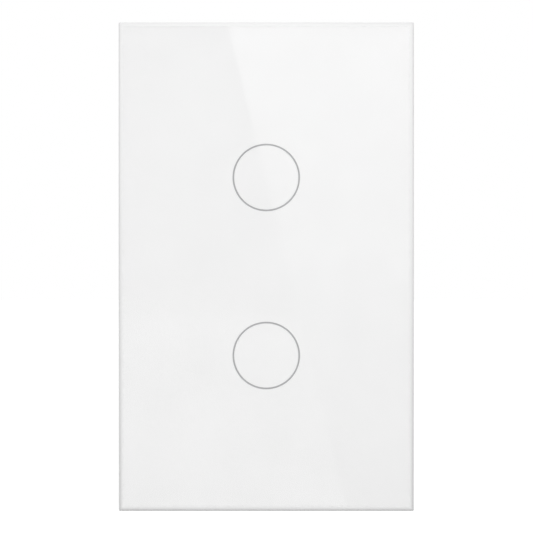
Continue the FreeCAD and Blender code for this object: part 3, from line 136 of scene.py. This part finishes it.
# The paper glows less near the switch, so that the switch's shadow shows.
away = start.node("VectorMath", {"operation": "LENGTH"}, {0: where(start)}, "Value")
lift = start.node("MapRange", {"interpolation_type": "SMOOTHSTEP"}, {
    "Value": away, "From Min": 0.10, "From Max": 0.30, "To Min": 0.50, "To Max": 0.68})
glow = start.node("Emission", {}, {"Color": (1, 1, 1, 1), "Strength": seen_or_mirrored(start) * lift})
start.node("OutputMaterial", {}, {"Surface": start.node("AddShader", {}, {0: dull, 1: glow})}, None)

sheet = bmesh.new()
bmesh.ops.create_grid(sheet, x_segments=1, y_segments=1, size=floor_reach)
bmesh.ops.translate(sheet, verts=sheet.verts, vec=(0, 0, floor_level))
floor_mesh = bpy.data.meshes.new("floor")
sheet.to_mesh(floor_mesh)
sheet.free()
floor_mesh.materials.append(paper)
floor = bpy.data.objects.new("floor", floor_mesh)
scene.collection.objects.link(floor)

tent = bpy.data.worlds.new("tent")
tent.use_nodes = True
tent.node_tree.nodes.clear()
start = Signal(tent.node_tree)
room_light = 0.85
strength = seen_or_mirrored(start) * (1 - room_light) + room_light
room = start.node("Background", {}, {"Color": (1, 1, 1, 1), "Strength": strength})
start.node("OutputWorld", {}, {"Surface": room}, None)
scene.world = tent

softbox = bpy.data.lights.new("softbox", "AREA")
softbox.shape = "RECTANGLE"
softbox.size = 3.8
softbox.size_y = 1.9
softbox.energy = 62
lamp = bpy.data.objects.new("softbox", softbox)
lamp.location = (0, -3.6, 1.68)
lamp.rotation_euler = lamp.location.to_track_quat("Z", "Y").to_euler()
scene.collection.objects.link(lamp)


# A tall reflector stands in front and to the right, with a slanting left edge. The glass mirrors it as the
# faint diagonal sheen of the photograph, brightest at the top. Only mirrored rays see it. Its outline is
# given as it shows on the glass, and stretched to its own distance.

reflector_reach = 0.38
stretch = 1 + reflector_reach / camera_to_glass
sheen = [(-0.0155, 0.084), (0.0345, -0.120), (0.090, -0.120), (0.090, 0.084)]
fade_height = 0.057 * stretch
reflector = bmesh.new()
corners = [reflector.verts.new((x * stretch, glass_front - reflector_reach, z * stretch)) for x, z in sheen]
reflector.faces.new(corners)
reflector_mesh = bpy.data.meshes.new("reflector")
reflector.to_mesh(reflector_mesh)
reflector.free()
silk, start = start_material("reflector_silk")
height = start.node("SeparateXYZ", {}, {0: where(start)}, "Z")
glow = start.node("MapRange", {"interpolation_type": "LINEAR"}, {
    "Value": height, "From Min": -fade_height, "From Max": fade_height, "To Min": 0.52, "To Max": 2.12})
start.node("OutputMaterial", {}, {"Surface": start.node("Emission", {}, {"Strength": glow})}, None)
reflector_mesh.materials.append(silk)
card = bpy.data.objects.new("reflector", reflector_mesh)
for kind in ("camera", "diffuse", "transmission", "volume_scatter", "shadow"):
    setattr(card, "visible_" + kind, False)
scene.collection.objects.link(card)


# The rear box is moulded in light grey polycarbonate. It carries the power board and closes over it, with
# slots that let the warmth of the supply out. Its mould was spark eroded, which leaves a fine even grain.


def speckle(start, size, detail=2.0, stretched=(1, 1, 1)):
    """Noise from 0 to 1 whose spots are about this size, in metres."""
    spread = start.node("Mapping", {}, {"Vector": where(start), "Scale": stretched})
    return start.node("TexNoise", {}, {"Vector": spread, "Scale": 1 / size, "Detail": detail})


def between(start, factor, low, high):
    """A colour that goes from low to high with the factor."""
    return start.node("Mix", {"data_type": "RGBA"}, {0: factor, 6: (*low, 1), 7: (*high, 1)}, 2)


def tinted(colour, amount):
    """The colour made lighter or darker by this amount."""
    return tuple(min(1, part * amount) for part in colour)


def solid(start, base, roughness, relief=None, depth=0.0, **fixed):
    """Ends a material in one Principled shader, with a relief of this depth in metres."""
    inputs = {"Base Color": base, "Roughness": roughness}
    inputs.update({name.replace("_", " "): value for name, value in fixed.items()})
    if relief is not None:
        inputs["Normal"] = start.node("Bump", {}, {"Height": relief, "Distance": depth})
    shader = start.node("BsdfPrincipled", {}, inputs)
    start.node("OutputMaterial", {}, {"Surface": shader}, None)


def moulded(name, colour, roughness, grain=0.00018, depth=0.000006):
    """Moulded plastic with the grain of a spark-eroded mould, and faint flow marks."""
    material, start = start_material(name)
    pits = speckle(start, grain, 3.0)
    flow = speckle(start, 0.012)
    base = between(start, flow, tinted(colour, 0.97), tinted(colour, 1.03))
    solid(start, base, flow * 0.08 + pits * 0.1 + (roughness - 0.09), pits, depth)
    return material


def finish(material, *names):
    """Gives CAD nodes this material."""
    for name in names:
        for holder in nodes[name].material_slots:
            holder.material = material


finish(moulded("box_plastic", (0.80, 0.80, 0.78), 0.48), "rear_box")


# The power board is green glass-epoxy laminate with copper tracks under the mask. Its leads are soldered on
# the front face, where each one ends in a small shiny cone.


def laminate(name, mask, pitch):
    """Solder mask over a woven board, with tracks that show a little lighter through it."""
    material, start = start_material(name)
    upright = start.node("Mapping", {}, {"Vector": where(start), "Rotation": (math.radians(90), 0, 0)})
    cells = start.node("TexVoronoi", {"distance": "MANHATTAN", "feature": "F1"},
                       {"Vector": upright, "Scale": 1 / pitch}, "Distance")
    track = start.math("SINE", cells * 34.0) > 0.35
    weave = speckle(start, 0.0004, 1.0)
    base = between(start, track, mask, tinted(mask, 1.7))
    solid(start, base, weave * 0.12 + 0.24, track * 0.6 + weave * 0.4, 0.00002)
    return material


def plated(name, colour, roughness, streak=(1, 1, 1), depth=0.000002):
    """Bright metal with fine rolling or drawing lines and a slightly cloudy plating."""
    material, start = start_material(name)
    lines = speckle(start, 0.0003, 2.0, streak)
    cloud = speckle(start, 0.006)
    base = between(start, cloud, tinted(colour, 0.92), tinted(colour, 1.05))
    solid(start, base, lines * 0.12 + cloud * 0.08 + (roughness - 0.1), lines, depth, Metallic=1.0)
    return material


def piece(name, form, material, body, slot, *stands_for, crease=None):
    """Turns a finished bmesh into a piece of the switch. Edges sharper than the crease angle stay sharp."""
    mesh = bpy.data.meshes.new(name)
    form.to_mesh(mesh)
    form.free()
    mesh.materials.append(material)
    if crease is not None:
        mesh.shade_smooth()
        mesh.set_sharp_from_angle(angle=math.radians(crease))
    made = bpy.data.objects.new(name, mesh)
    scene.collection.objects.link(made)
    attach(made, body)
    if stands_for:
        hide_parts(*stands_for)
    return made


def turned(profile, x=0.0, z=0.0, steps=24):
    """A turned form: (radius, depth) points in millimetres, spun round a line from front to back."""
    form = bmesh.new()
    points = [form.verts.new((radius / 1000, depth / 1000, 0)) for radius, depth in profile]
    lines = [form.edges.new(pair) for pair in zip(points, points[1:])]
    bmesh.ops.spin(form, geom=points + lines, cent=(0, 0, 0), axis=(0, 1, 0), angle=2 * math.pi,
                   steps=steps, use_merge=True)
    bmesh.ops.remove_doubles(form, verts=form.verts, dist=1e-6)
    bmesh.ops.recalc_face_normals(form, faces=form.faces)
    bmesh.ops.translate(form, verts=form.verts, vec=(x / 1000, 0, z / 1000))
    return form


def together(forms):
    """Several forms as one."""
    whole = bmesh.new()
    for form in forms:
        mesh = bpy.data.meshes.new("form")
        form.to_mesh(mesh)
        form.free()
        whole.from_mesh(mesh)
        bpy.data.meshes.remove(mesh)
    return whole


finish(laminate("power_laminate", (0.035, 0.15, 0.07), 0.006), "power_board")
solder = plated("bright_solder", (0.72, 0.73, 0.75), 0.28)
terminal_ways = (-11.7, -3.9, 3.9, 11.7)
terminal_leads = [(x, -21.95) for x in terminal_ways]
relay_leads = [(x, z) for x in (-7.6, -5.4, -3.2, 3.2, 5.4, 7.6) for z in (-16.8, -3.6)]
supply_leads = [(-17.0, 9.6), (-7.4, 9.6), (-1.4, 6.6), (-1.4, 12.6), (4.1, 6.8), (4.1, 12.4), (8.6, 9.6),
                (10.8, 9.6), (13.0, 9.6), (14.8, 9.6), (3.9, 21.6), (7.5, 21.6), (13.4, 21.6), (17.0, 21.6),
                (-15.8, 21.6), (-13.0, 17.2), (-13.0, 26.0), (-8.0, 17.2), (-8.0, 26.0)]
cone = [(0, 6.0), (1.15, 6.0), (0.8, 5.82), (0.52, 5.5), (0.4, 5.15), (0.28, 4.95), (0, 4.9)]
cones = [turned(cone, x, z, 12) for x, z in terminal_leads + relay_leads + supply_leads]
piece("power_solder", together(cones), solder, "base", "screw_steel", crease=60)


# The supply's parts stand on the power board's back: a small ferrite transformer under yellow tape, two
# sleeved cans, a film capacitor, a moulded fuse, a blue coated varistor and a black bridge rectifier.

finish(moulded("ferrite", (0.07, 0.07, 0.075), 0.62, 0.0001, 0.00001), "transformer_core")
finish(moulded("film_case", (0.80, 0.62, 0.10), 0.34), "filter_capacitor")
finish(moulded("fuse_case", (0.24, 0.13, 0.08), 0.38), "fuse")
finish(moulded("varistor_coat", (0.06, 0.16, 0.45), 0.30, 0.0006, 0.00002), "varistor")
finish(moulded("black_resin", (0.03, 0.03, 0.03), 0.50, 0.00008), "bridge_rectifier", "touch_chip")

laps_per_metre = 1100.0
coil_tape, start = start_material("coil_tape")
across = start.node("SeparateXYZ", {}, {0: where(start)}, "Y")
laps = start.math("FRACT", across * laps_per_metre) > 0.93
wrinkles = speckle(start, 0.0012, 3.0)
solid(start, between(start, laps, (0.75, 0.58, 0.10), (0.50, 0.37, 0.06)), wrinkles * 0.2 + 0.25,
      wrinkles * 0.7 - laps * 0.3, 0.00004)
finish(coil_tape, "transformer_coil")

sleeve_end = 0.01995
can_sleeve, start = start_material("can_sleeve")
bare_end = start.node("SeparateXYZ", {}, {0: where(start)}, "Y") > sleeve_end
lines = speckle(start, 0.0002)
solid(start, between(start, bare_end, (0.03, 0.05, 0.12), (0.70, 0.70, 0.71)), lines * 0.15 + 0.25,
      lines, 0.000003, Metallic=bare_end)
finish(can_sleeve, "smoothing_capacitors")


# The terminal block is moulded in green polyamide. Each way has a nickel plated brass cage that the screw
# draws up against the wire, and a tinned copper bar that the wire is pressed on.

finish(moulded("terminal_plastic", (0.07, 0.30, 0.15), 0.42), "terminal_block")
clamp_brass = plated("clamp_brass", (0.78, 0.73, 0.58), 0.30)
clamp_steel = plated("clamp_steel", (0.70, 0.70, 0.68), 0.26)
finish(plated("contact_bars", (0.80, 0.66, 0.42), 0.34), "terminal_contacts")


def bar(width, depth, height, x=0.0, y=0.0, z=0.0, taper=1.0):
    """A block in millimetres, centred on a point. Its front end narrows by the taper."""
    form = bmesh.new()
    bmesh.ops.create_cube(form, size=0.001)
    bmesh.ops.scale(form, verts=form.verts, vec=(width, depth, height))
    narrow = [v for v in form.verts if v.co.y < 0]
    bmesh.ops.scale(form, verts=narrow, vec=(taper, 1, taper))
    bmesh.ops.translate(form, verts=form.verts, vec=(x / 1000, y / 1000, z / 1000))
    return form


def cross(width, length, depth, x, y, z, taper=1.0):
    """The two bars that cut a cross recess."""
    return bar(width, depth, length, x, y, z, taper), bar(length, depth, width, x, y, z, taper)


def carved(form, *tools):
    """The form with the shapes of the tools cut out of it. The cut faces take the second material, which
    carries painted shade.
    """
    for tool in tools:
        for face in tool.faces:
            face.material_index = 1
    blanks = []
    for source in (form, *tools):
        mesh = bpy.data.meshes.new("blank")
        for _ in range(2):
            mesh.materials.append(None)
        source.to_mesh(mesh)
        source.free()
        blanks.append(bpy.data.objects.new("blank", mesh))
        scene.collection.objects.link(blanks[-1])
    for tool in blanks[1:]:
        cut = blanks[0].modifiers.new("cut", "BOOLEAN")
        cut.object = tool
        cut.operation = "DIFFERENCE"
        cut.solver = "EXACT"
    bpy.context.view_layer.update()
    result = bmesh.new()
    result.from_object(blanks[0], bpy.context.evaluated_depsgraph_get())
    for blank in blanks:
        bpy.data.meshes.remove(blank.data)
    return result


def thread(root, crest, pitch, front, back, x, z, steps=16):
    """A rolled thread: the profile of one turn, swept along a helix from front to back, in millimetres."""
    form = bmesh.new()
    profile = [(root, 0), (crest, 0.38), (crest, 0.52), (root, 0.9), (root, 1)]
    points = [form.verts.new((radius / 1000, (front + rise * pitch) / 1000, 0)) for radius, rise in profile]
    lines = [form.edges.new(pair) for pair in zip(points, points[1:])]
    count = round(((back - front) / pitch - 1) * steps)
    swept = bmesh.ops.spin(form, geom=points + lines, cent=(0, 0, 0), axis=(0, 1, 0),
                           dvec=(0, pitch / steps / 1000, 0), angle=2 * math.pi * count / steps,
                           steps=count, use_duplicate=False)
    last = [part for part in swept["geom_last"] if isinstance(part, bmesh.types.BMVert)]
    form.faces.new(points)
    form.faces.new(last)
    bmesh.ops.remove_doubles(form, verts=form.verts, dist=1e-6)
    bmesh.ops.recalc_face_normals(form, faces=form.faces)
    bmesh.ops.translate(form, verts=form.verts, vec=(x / 1000, 0, z / 1000))
    return form


# The recesses cut into the screw heads take a darker grey: partly oil, partly painted shade.
recess_oil_and_painted_shade = plated("recess_oil_and_painted_shade", (0.26, 0.26, 0.25), 0.50)
clamp_top, z = 23.55, -26.55
clamp_profile = [(0, 14.75), (0.9, 14.75), (1.2, 15.05), (1.2, 21.55), (2.4, 21.55), (2.65, 21.75),
                 (2.7, 22.0), (2.7, 23.1), (2.55, 23.4), (2.2, clamp_top), (0, clamp_top)]
for number, x in enumerate(terminal_ways, 1):
    finish(clamp_brass, f"terminal_cage_{number}")
    slot = bar(0.8, 2.0, 8, x, clamp_top, z)
    short_bar = bar(3.4, 2.6, 0.8, x, clamp_top, z, 0.6)
    head = carved(turned(clamp_profile, x, z, 32), slot, short_bar)
    whole = together([head, thread(1.22, 1.5, 0.5, 15.0, 21.4, x, z)])
    screw = piece(f"clamp_screw_{number}", whole, clamp_steel, f"clamp_screw_{number}", "clamp_steel",
                  f"terminal_screw_{number}", crease=35)
    screw.data.materials.append(recess_oil_and_painted_shade)


# The two relays have a blue moulded case over a black base. Inside are a coil of enamelled copper wire on a
# natural nylon bobbin, a nickel plated iron and an armature that rocks on the iron's edge.

relay_blue = moulded("relay_case", (0.06, 0.20, 0.42), 0.32)
relay_black = moulded("relay_base", (0.05, 0.05, 0.05), 0.5)
bobbin_nylon = moulded("bobbin_plastic", (0.78, 0.76, 0.68), 0.42)
soft_iron = plated("soft_iron", (0.58, 0.58, 0.58), 0.34)
contact_strip = plated("contact_spring", (0.76, 0.50, 0.26), 0.30)

wire_pitch = 0.00022
copper_wire, start = start_material("copper_wire")
along = start.node("SeparateXYZ", {}, {0: where(start)}, "Y")
turns = abs(start.math("SINE", along * (math.pi / wire_pitch)))
tone = speckle(start, 0.0015)
solid(start, between(start, tone, (0.60, 0.26, 0.10), (0.80, 0.42, 0.20)), tone * 0.1 + 0.25,
      turns, 0.00008, Metallic=1.0, Coat_Weight=0.6)
for number in (1, 2):
    relay = f"relay_{number}_"
    finish(relay_blue, relay + "case")
    finish(relay_black, relay + "base")
    finish(bobbin_nylon, relay + "bobbin")
    finish(copper_wire, relay + "winding")
    finish(soft_iron, relay + "core", relay + "armature")
    finish(contact_strip, relay + "contacts")


# The mounting yoke is stamped from zinc plated steel sheet, with a drawn grain. Square fibre washers keep
# the wall screws captive in it.

finish(plated("zinc_steel", (0.66, 0.68, 0.69), 0.38, (1, 1, 0.06)), "mounting_yoke")
finish(moulded("fibre", (0.42, 0.23, 0.14), 0.72, 0.0003, 0.00003), "wall_screw_washers")


# The ground screw sits in the yoke's upper end and takes the ground wire. It is green dyed steel with a
# hexagon head on a round flange, and its head has a slot and a cross recess.

x, z = -13, 37.6
hexagon_radius = 0.00404
hexagon = bmesh.new()
bmesh.ops.create_cone(hexagon, cap_ends=True, segments=6, radius1=hexagon_radius, radius2=hexagon_radius,
                      depth=0.0019)
bmesh.ops.rotate(hexagon, verts=hexagon.verts, matrix=Matrix.Rotation(math.radians(30), 3, "Z"))
bmesh.ops.rotate(hexagon, verts=hexagon.verts, matrix=Matrix.Rotation(math.radians(90), 3, "X"))
bmesh.ops.translate(hexagon, verts=hexagon.verts, vec=(x / 1000, 0.00145, z / 1000))
outer = [e for e in hexagon.edges if all(v.co.y > 0.0023 for v in e.verts)]
bmesh.ops.bevel(hexagon, geom=outer, offset=0.0003, affect="EDGES", segments=2, profile=0.5, material=-1)
head = carved(hexagon, bar(9, 2.4, 0.9, x, 2.4, z), *cross(0.9, 4.2, 2.4, x, 2.4, z, 0.7))
flange = turned([(0, 0), (3.3, 0), (3.45, 0.15), (3.4, 0.45), (3.0, 0.52), (0, 0.52)], x, z, 32)
shank = turned([(0, -1.1), (1.8, -1.1), (2.0, -0.9), (2.0, 0.1), (0, 0.1)], x, z)
green_dye = plated("green_screw", (0.05, 0.33, 0.14), 0.36)
screw = piece("ground_screw_green", together([head, flange, shank]), green_dye, "base", "green_screw",
              "ground_screw", crease=35)
# The head's slot and cross take the green dye made darker with painted shade.
screw.data.materials.append(plated("green_dye_with_painted_shade", (0.015, 0.11, 0.045), 0.50))


# Two wall screws hold the yoke to the wall box. They are zinc plated, with an oval head that has a slot and
# a cross recess, and a rolled thread of 0.794 mm pitch.

zinc_screw = plated("screw_steel", (0.70, 0.71, 0.72), 0.30)
wall_profile = [(0, -3.4), (1.2, -3.38), (2.2, -3.2), (3.0, -2.85), (3.4, -2.4), (3.5, -2.05), (3.5, -1.4),
                (3.35, -1.2), (1.4, -1.2), (1.4, 19.2), (1.1, 19.8), (0.9, 20), (0, 20)]
parts = []
for z in (-41.65, 41.65):
    slot = bar(8, 2.2, 0.9, 0, -3.4, z)
    parts.append(carved(turned(wall_profile, 0, z, 40), slot, *cross(1.0, 3.6, 3.0, 0, -3.3, z)))
    parts.append(thread(1.42, 1.75, 0.794, 1.0, 19.9, 0, z, 20))
screws = piece("wall_screw_pair", together(parts), zinc_screw, "base", "screw_steel", "wall_screws",
               crease=35)
screws.data.materials.append(recess_oil_and_painted_shade)


# The two long screws go in from the back, at opposite corners, and hold the box, the yoke and the front
# housing together. Their round heads have a cross recess.

head_top = 24.4
long_profile = [(0, -4.7), (0.5, -4.7), (1.3, -3.7), (1.3, 22.8), (2.1, 22.8), (2.3, 23.0), (2.3, 23.5),
                (2.1, 23.95), (1.7, 24.25), (1.2, 24.38), (0, head_top)]
parts = [carved(turned(long_profile, x, z, 32), *cross(0.75, 2.7, 2.4, x, head_top, z, 0.7))
         for x, z in ((-19.8, 29.8), (19.8, -29.8))]
screws = piece("housing_screw_pair", together(parts), zinc_screw, "base", "screw_steel", "housing_screws",
               crease=35)
screws.data.materials.append(recess_oil_and_painted_shade)


# The insulating sheet is grey film that keeps the boards off the steel. The touch board carries the touch
# chip, a radio board under a tinned can, and four small lamps round each key.

finish(moulded("fish_paper", (0.20, 0.21, 0.20), 0.6, 0.0005, 0.00001), "insulating_sheet")
finish(laminate("touch_laminate", (0.03, 0.12, 0.06), 0.005), "touch_board", "radio_module")
finish(plated("shield_tin", (0.74, 0.74, 0.72), 0.32, (1, 1, 0.1)), "radio_shield")
finish(moulded("black_plastic", (0.04, 0.04, 0.04), 0.48), "board_header", "board_socket")
finish(plated("gold_pin", (0.83, 0.68, 0.32), 0.25), "header_pins")
finish(moulded("lamp", (0.92, 0.90, 0.80), 0.25), "indicator_leds")


# Small chip resistors and capacitors stand round the header and beside the keys, each with two tinned ends.
# A tinned ring lies under each touch spring.

chip_level = -0.00283
places = [(x, z, 0) for z in (-8.5, 8.5) for x in (-12, -9, -6, 6, 9, 12)]
places += [(x, z, 90) for x in (-6.5, 6.5) for z in (-3.2, 0, 3.2)]
places += [(x, z, 90) for x in (-21, 21) for z in (-24, -21.5, -19, 19, 21.5, 24)]
bodies, ends = [], []
for x, z, turn in places:
    chip = bar(1.0, 0.42, 0.8)
    caps = together([bar(0.32, 0.46, 0.84, side) for side in (-0.64, 0.64)])
    for form, group in ((chip, bodies), (caps, ends)):
        bmesh.ops.bevel(form, geom=form.edges[:], offset=0.00005, affect="EDGES", segments=2,
                        profile=0.5, material=-1)
        bmesh.ops.rotate(form, verts=form.verts, matrix=Matrix.Rotation(math.radians(turn), 3, "Y"))
        bmesh.ops.translate(form, verts=form.verts, vec=(x / 1000, chip_level, z / 1000))
        group.append(form)
chip_body = moulded("chip_body", (0.10, 0.09, 0.08), 0.45, 0.00005)
piece("chip_parts", together(bodies), chip_body, "base", "black_resin", crease=40)
key_height = 21.98
pad = [(2.7, -2.6), (2.7, -2.63), (4.0, -2.63), (4.0, -2.6)]
pads = [turned(pad, 0, z, 48) for z in (-key_height, key_height)]
piece("chip_ends", together(ends + pads), solder, "base", "screw_steel", crease=40)


# The front housing is moulded in white polycarbonate, as the panel's carrier is. Its raised middle holds the
# touch board, the frosted light guides sit in its front, and the touch springs reach through it.

white_plastic = moulded("housing_plastic", (0.86, 0.86, 0.84), 0.46)
finish(white_plastic, "front_housing", "panel_frame")
frosted = moulded("clear_plastic", (0.90, 0.92, 0.93), 0.35)
finish(frosted, "upper_light_guide", "lower_light_guide")


# Each touch spring is wound from 0.5 mm spring wire. It has two open turns between closed ends, and carries
# the touch signal from the board to the glass.

spring_steel = plated("spring_steel", (0.70, 0.70, 0.70), 0.28)
wire, coil_radius, coil_front = 0.0005, 0.00325, -0.00594
turn_steps = 30
for side, z in (("upper", key_height), ("lower", -key_height)):
    coil = bmesh.new()
    bmesh.ops.create_circle(coil, segments=12, radius=wire / 2, cap_ends=True)
    bmesh.ops.translate(coil, verts=coil.verts, vec=(coil_radius, coil_front, 0))
    tip = coil.verts[:] + coil.edges[:] + coil.faces[:]
    for turns, pitch in ((0.9, 0.00053), (2.0, 0.00104), (0.9, 0.00053)):
        steps = round(turns * turn_steps)
        swept = bmesh.ops.spin(coil, geom=tip, cent=(0, 0, 0), axis=(0, 1, 0),
                               dvec=(0, pitch / turn_steps, 0), steps=steps,
                               angle=math.radians(360 / turn_steps * steps), use_duplicate=False)
        tip = swept["geom_last"]
    bmesh.ops.recalc_face_normals(coil, faces=coil.faces)
    bmesh.ops.translate(coil, verts=coil.verts, vec=(0, 0, z / 1000))
    piece(f"{side}_coil", coil, spring_steel, "base", "spring_steel", f"{side}_touch_spring", crease=40)


# A frame of black foam tape joins the glass to its carrier, so that the panel comes off as one. The glass is
# printed on its back: white all over, with a thin grey ring round each key.

finish(moulded("foam_tape", (0.06, 0.06, 0.06), 0.85, 0.00025, 0.00004), "mounting_tape")
finish(moulded("white_ink", (0.90, 0.90, 0.90), 0.5, 0.0002, 0.000001), "glass_print")
grey_ink = moulded("grey_ink", (0.40, 0.40, 0.41), 0.55, 0.0002, 0.000001)
finish(grey_ink, "upper_key_ring", "lower_key_ring")


# The glass is a 4 mm tempered plate, polished and clear down to the print on its back. Its ground edges are
# frosted, so they look white. The front rim is a quarter round, built as a row of insets of the front face,
# and the small corners of the plate close halfway round it.

glass_width, glass_height, glass_thickness = 0.0725, 0.120, 0.00399
rim_round, rim_steps = 0.0011, 10
halfway = rim_steps // 2
wall = glass_thickness - rim_round
angles = [math.radians(90 / rim_steps * step) for step in range(rim_steps + 1)]
inward = [rim_round * (1 - math.cos(angle)) for angle in angles]
forward = [rim_round * math.sin(angle) for angle in angles]


def foremost(form):
    """The face that lies farthest to the front."""
    return min(form.faces, key=lambda face: face.calc_center_median().y)


glass = bmesh.new()
bmesh.ops.create_cube(glass, size=1)
bmesh.ops.scale(glass, verts=glass.verts, vec=(glass_width, wall, glass_height))
bmesh.ops.translate(glass, verts=glass.verts, vec=(0, glass_front + rim_round + wall / 2, 0))
posts = [e for e in glass.edges if abs((e.verts[0].co - e.verts[1].co).y) > 0.001]
bmesh.ops.bevel(glass, geom=posts, offset=inward[halfway], affect="EDGES", segments=6, profile=0.5,
                material=-1)
near_back = glass_front + glass_thickness - 0.0001
back_rim = [e for e in glass.edges if all(v.co.y > near_back for v in e.verts)]
bmesh.ops.bevel(glass, geom=back_rim, offset=0.0003, affect="EDGES", segments=2, profile=0.5, material=-1)
front_face = foremost(glass)
for step in range(1, rim_steps + 1):
    bmesh.ops.inset_region(glass, faces=[front_face], use_boundary=True, use_even_offset=True,
                           thickness=inward[step] - inward[step - 1], depth=forward[step] - forward[step - 1])
    if step == halfway:
        bmesh.ops.remove_doubles(glass, verts=front_face.verts[:], dist=0.00003)
        front_face = foremost(glass)
for face in glass.faces:
    face.smooth = face.calc_area() < 0.0001

half_width, half_height = glass_width / 2 - rim_round, glass_height / 2 - rim_round
bonded_from = -0.0070
glass_finish, start = start_material("glass")
across, depth, up = [start.node("SeparateXYZ", {}, {0: where(start)}, axis) for axis in "XYZ"]
outward = start.math("MAXIMUM", abs(across) - half_width, abs(up) - half_height) * (1 / rim_round)
ground = outward > 0.0
bonded = depth > bonded_from
ripple = speckle(start, 0.05)
flat = start.node("Bump", {}, {"Height": ripple, "Distance": 0.0000004})
mirror = start.node("Fresnel", {}, {"IOR": 1.5, "Normal": flat}) * (1 - bonded)
clear = start.node("BsdfTransparent", {}, {"Color": (0.996, 0.996, 0.996, 1)})
gloss = start.node("BsdfGlossy", {}, {"Color": (1, 1, 1, 1), "Roughness": 0.03, "Normal": flat})
polished = start.node("MixShader", {}, {0: mirror, 1: clear, 2: gloss})
frost = speckle(start, 0.00012, 3.0)
matt = start.node("BsdfPrincipled", {}, {
    "Base Color": between(start, outward, (0.88, 0.88, 0.88), (0.79, 0.79, 0.79)),
    "Roughness": frost * 0.2 + 0.35,
    "Normal": start.node("Bump", {}, {"Height": frost, "Distance": 0.000003})})
surface = start.node("MixShader", {}, {0: ground, 1: polished, 2: matt})
start.node("OutputMaterial", {}, {"Surface": surface}, None)
plate = piece("glass_plate", glass, glass_finish, "panel", "glass", "glass_panel")
plate.visible_shadow = False
plate.visible_diffuse = False
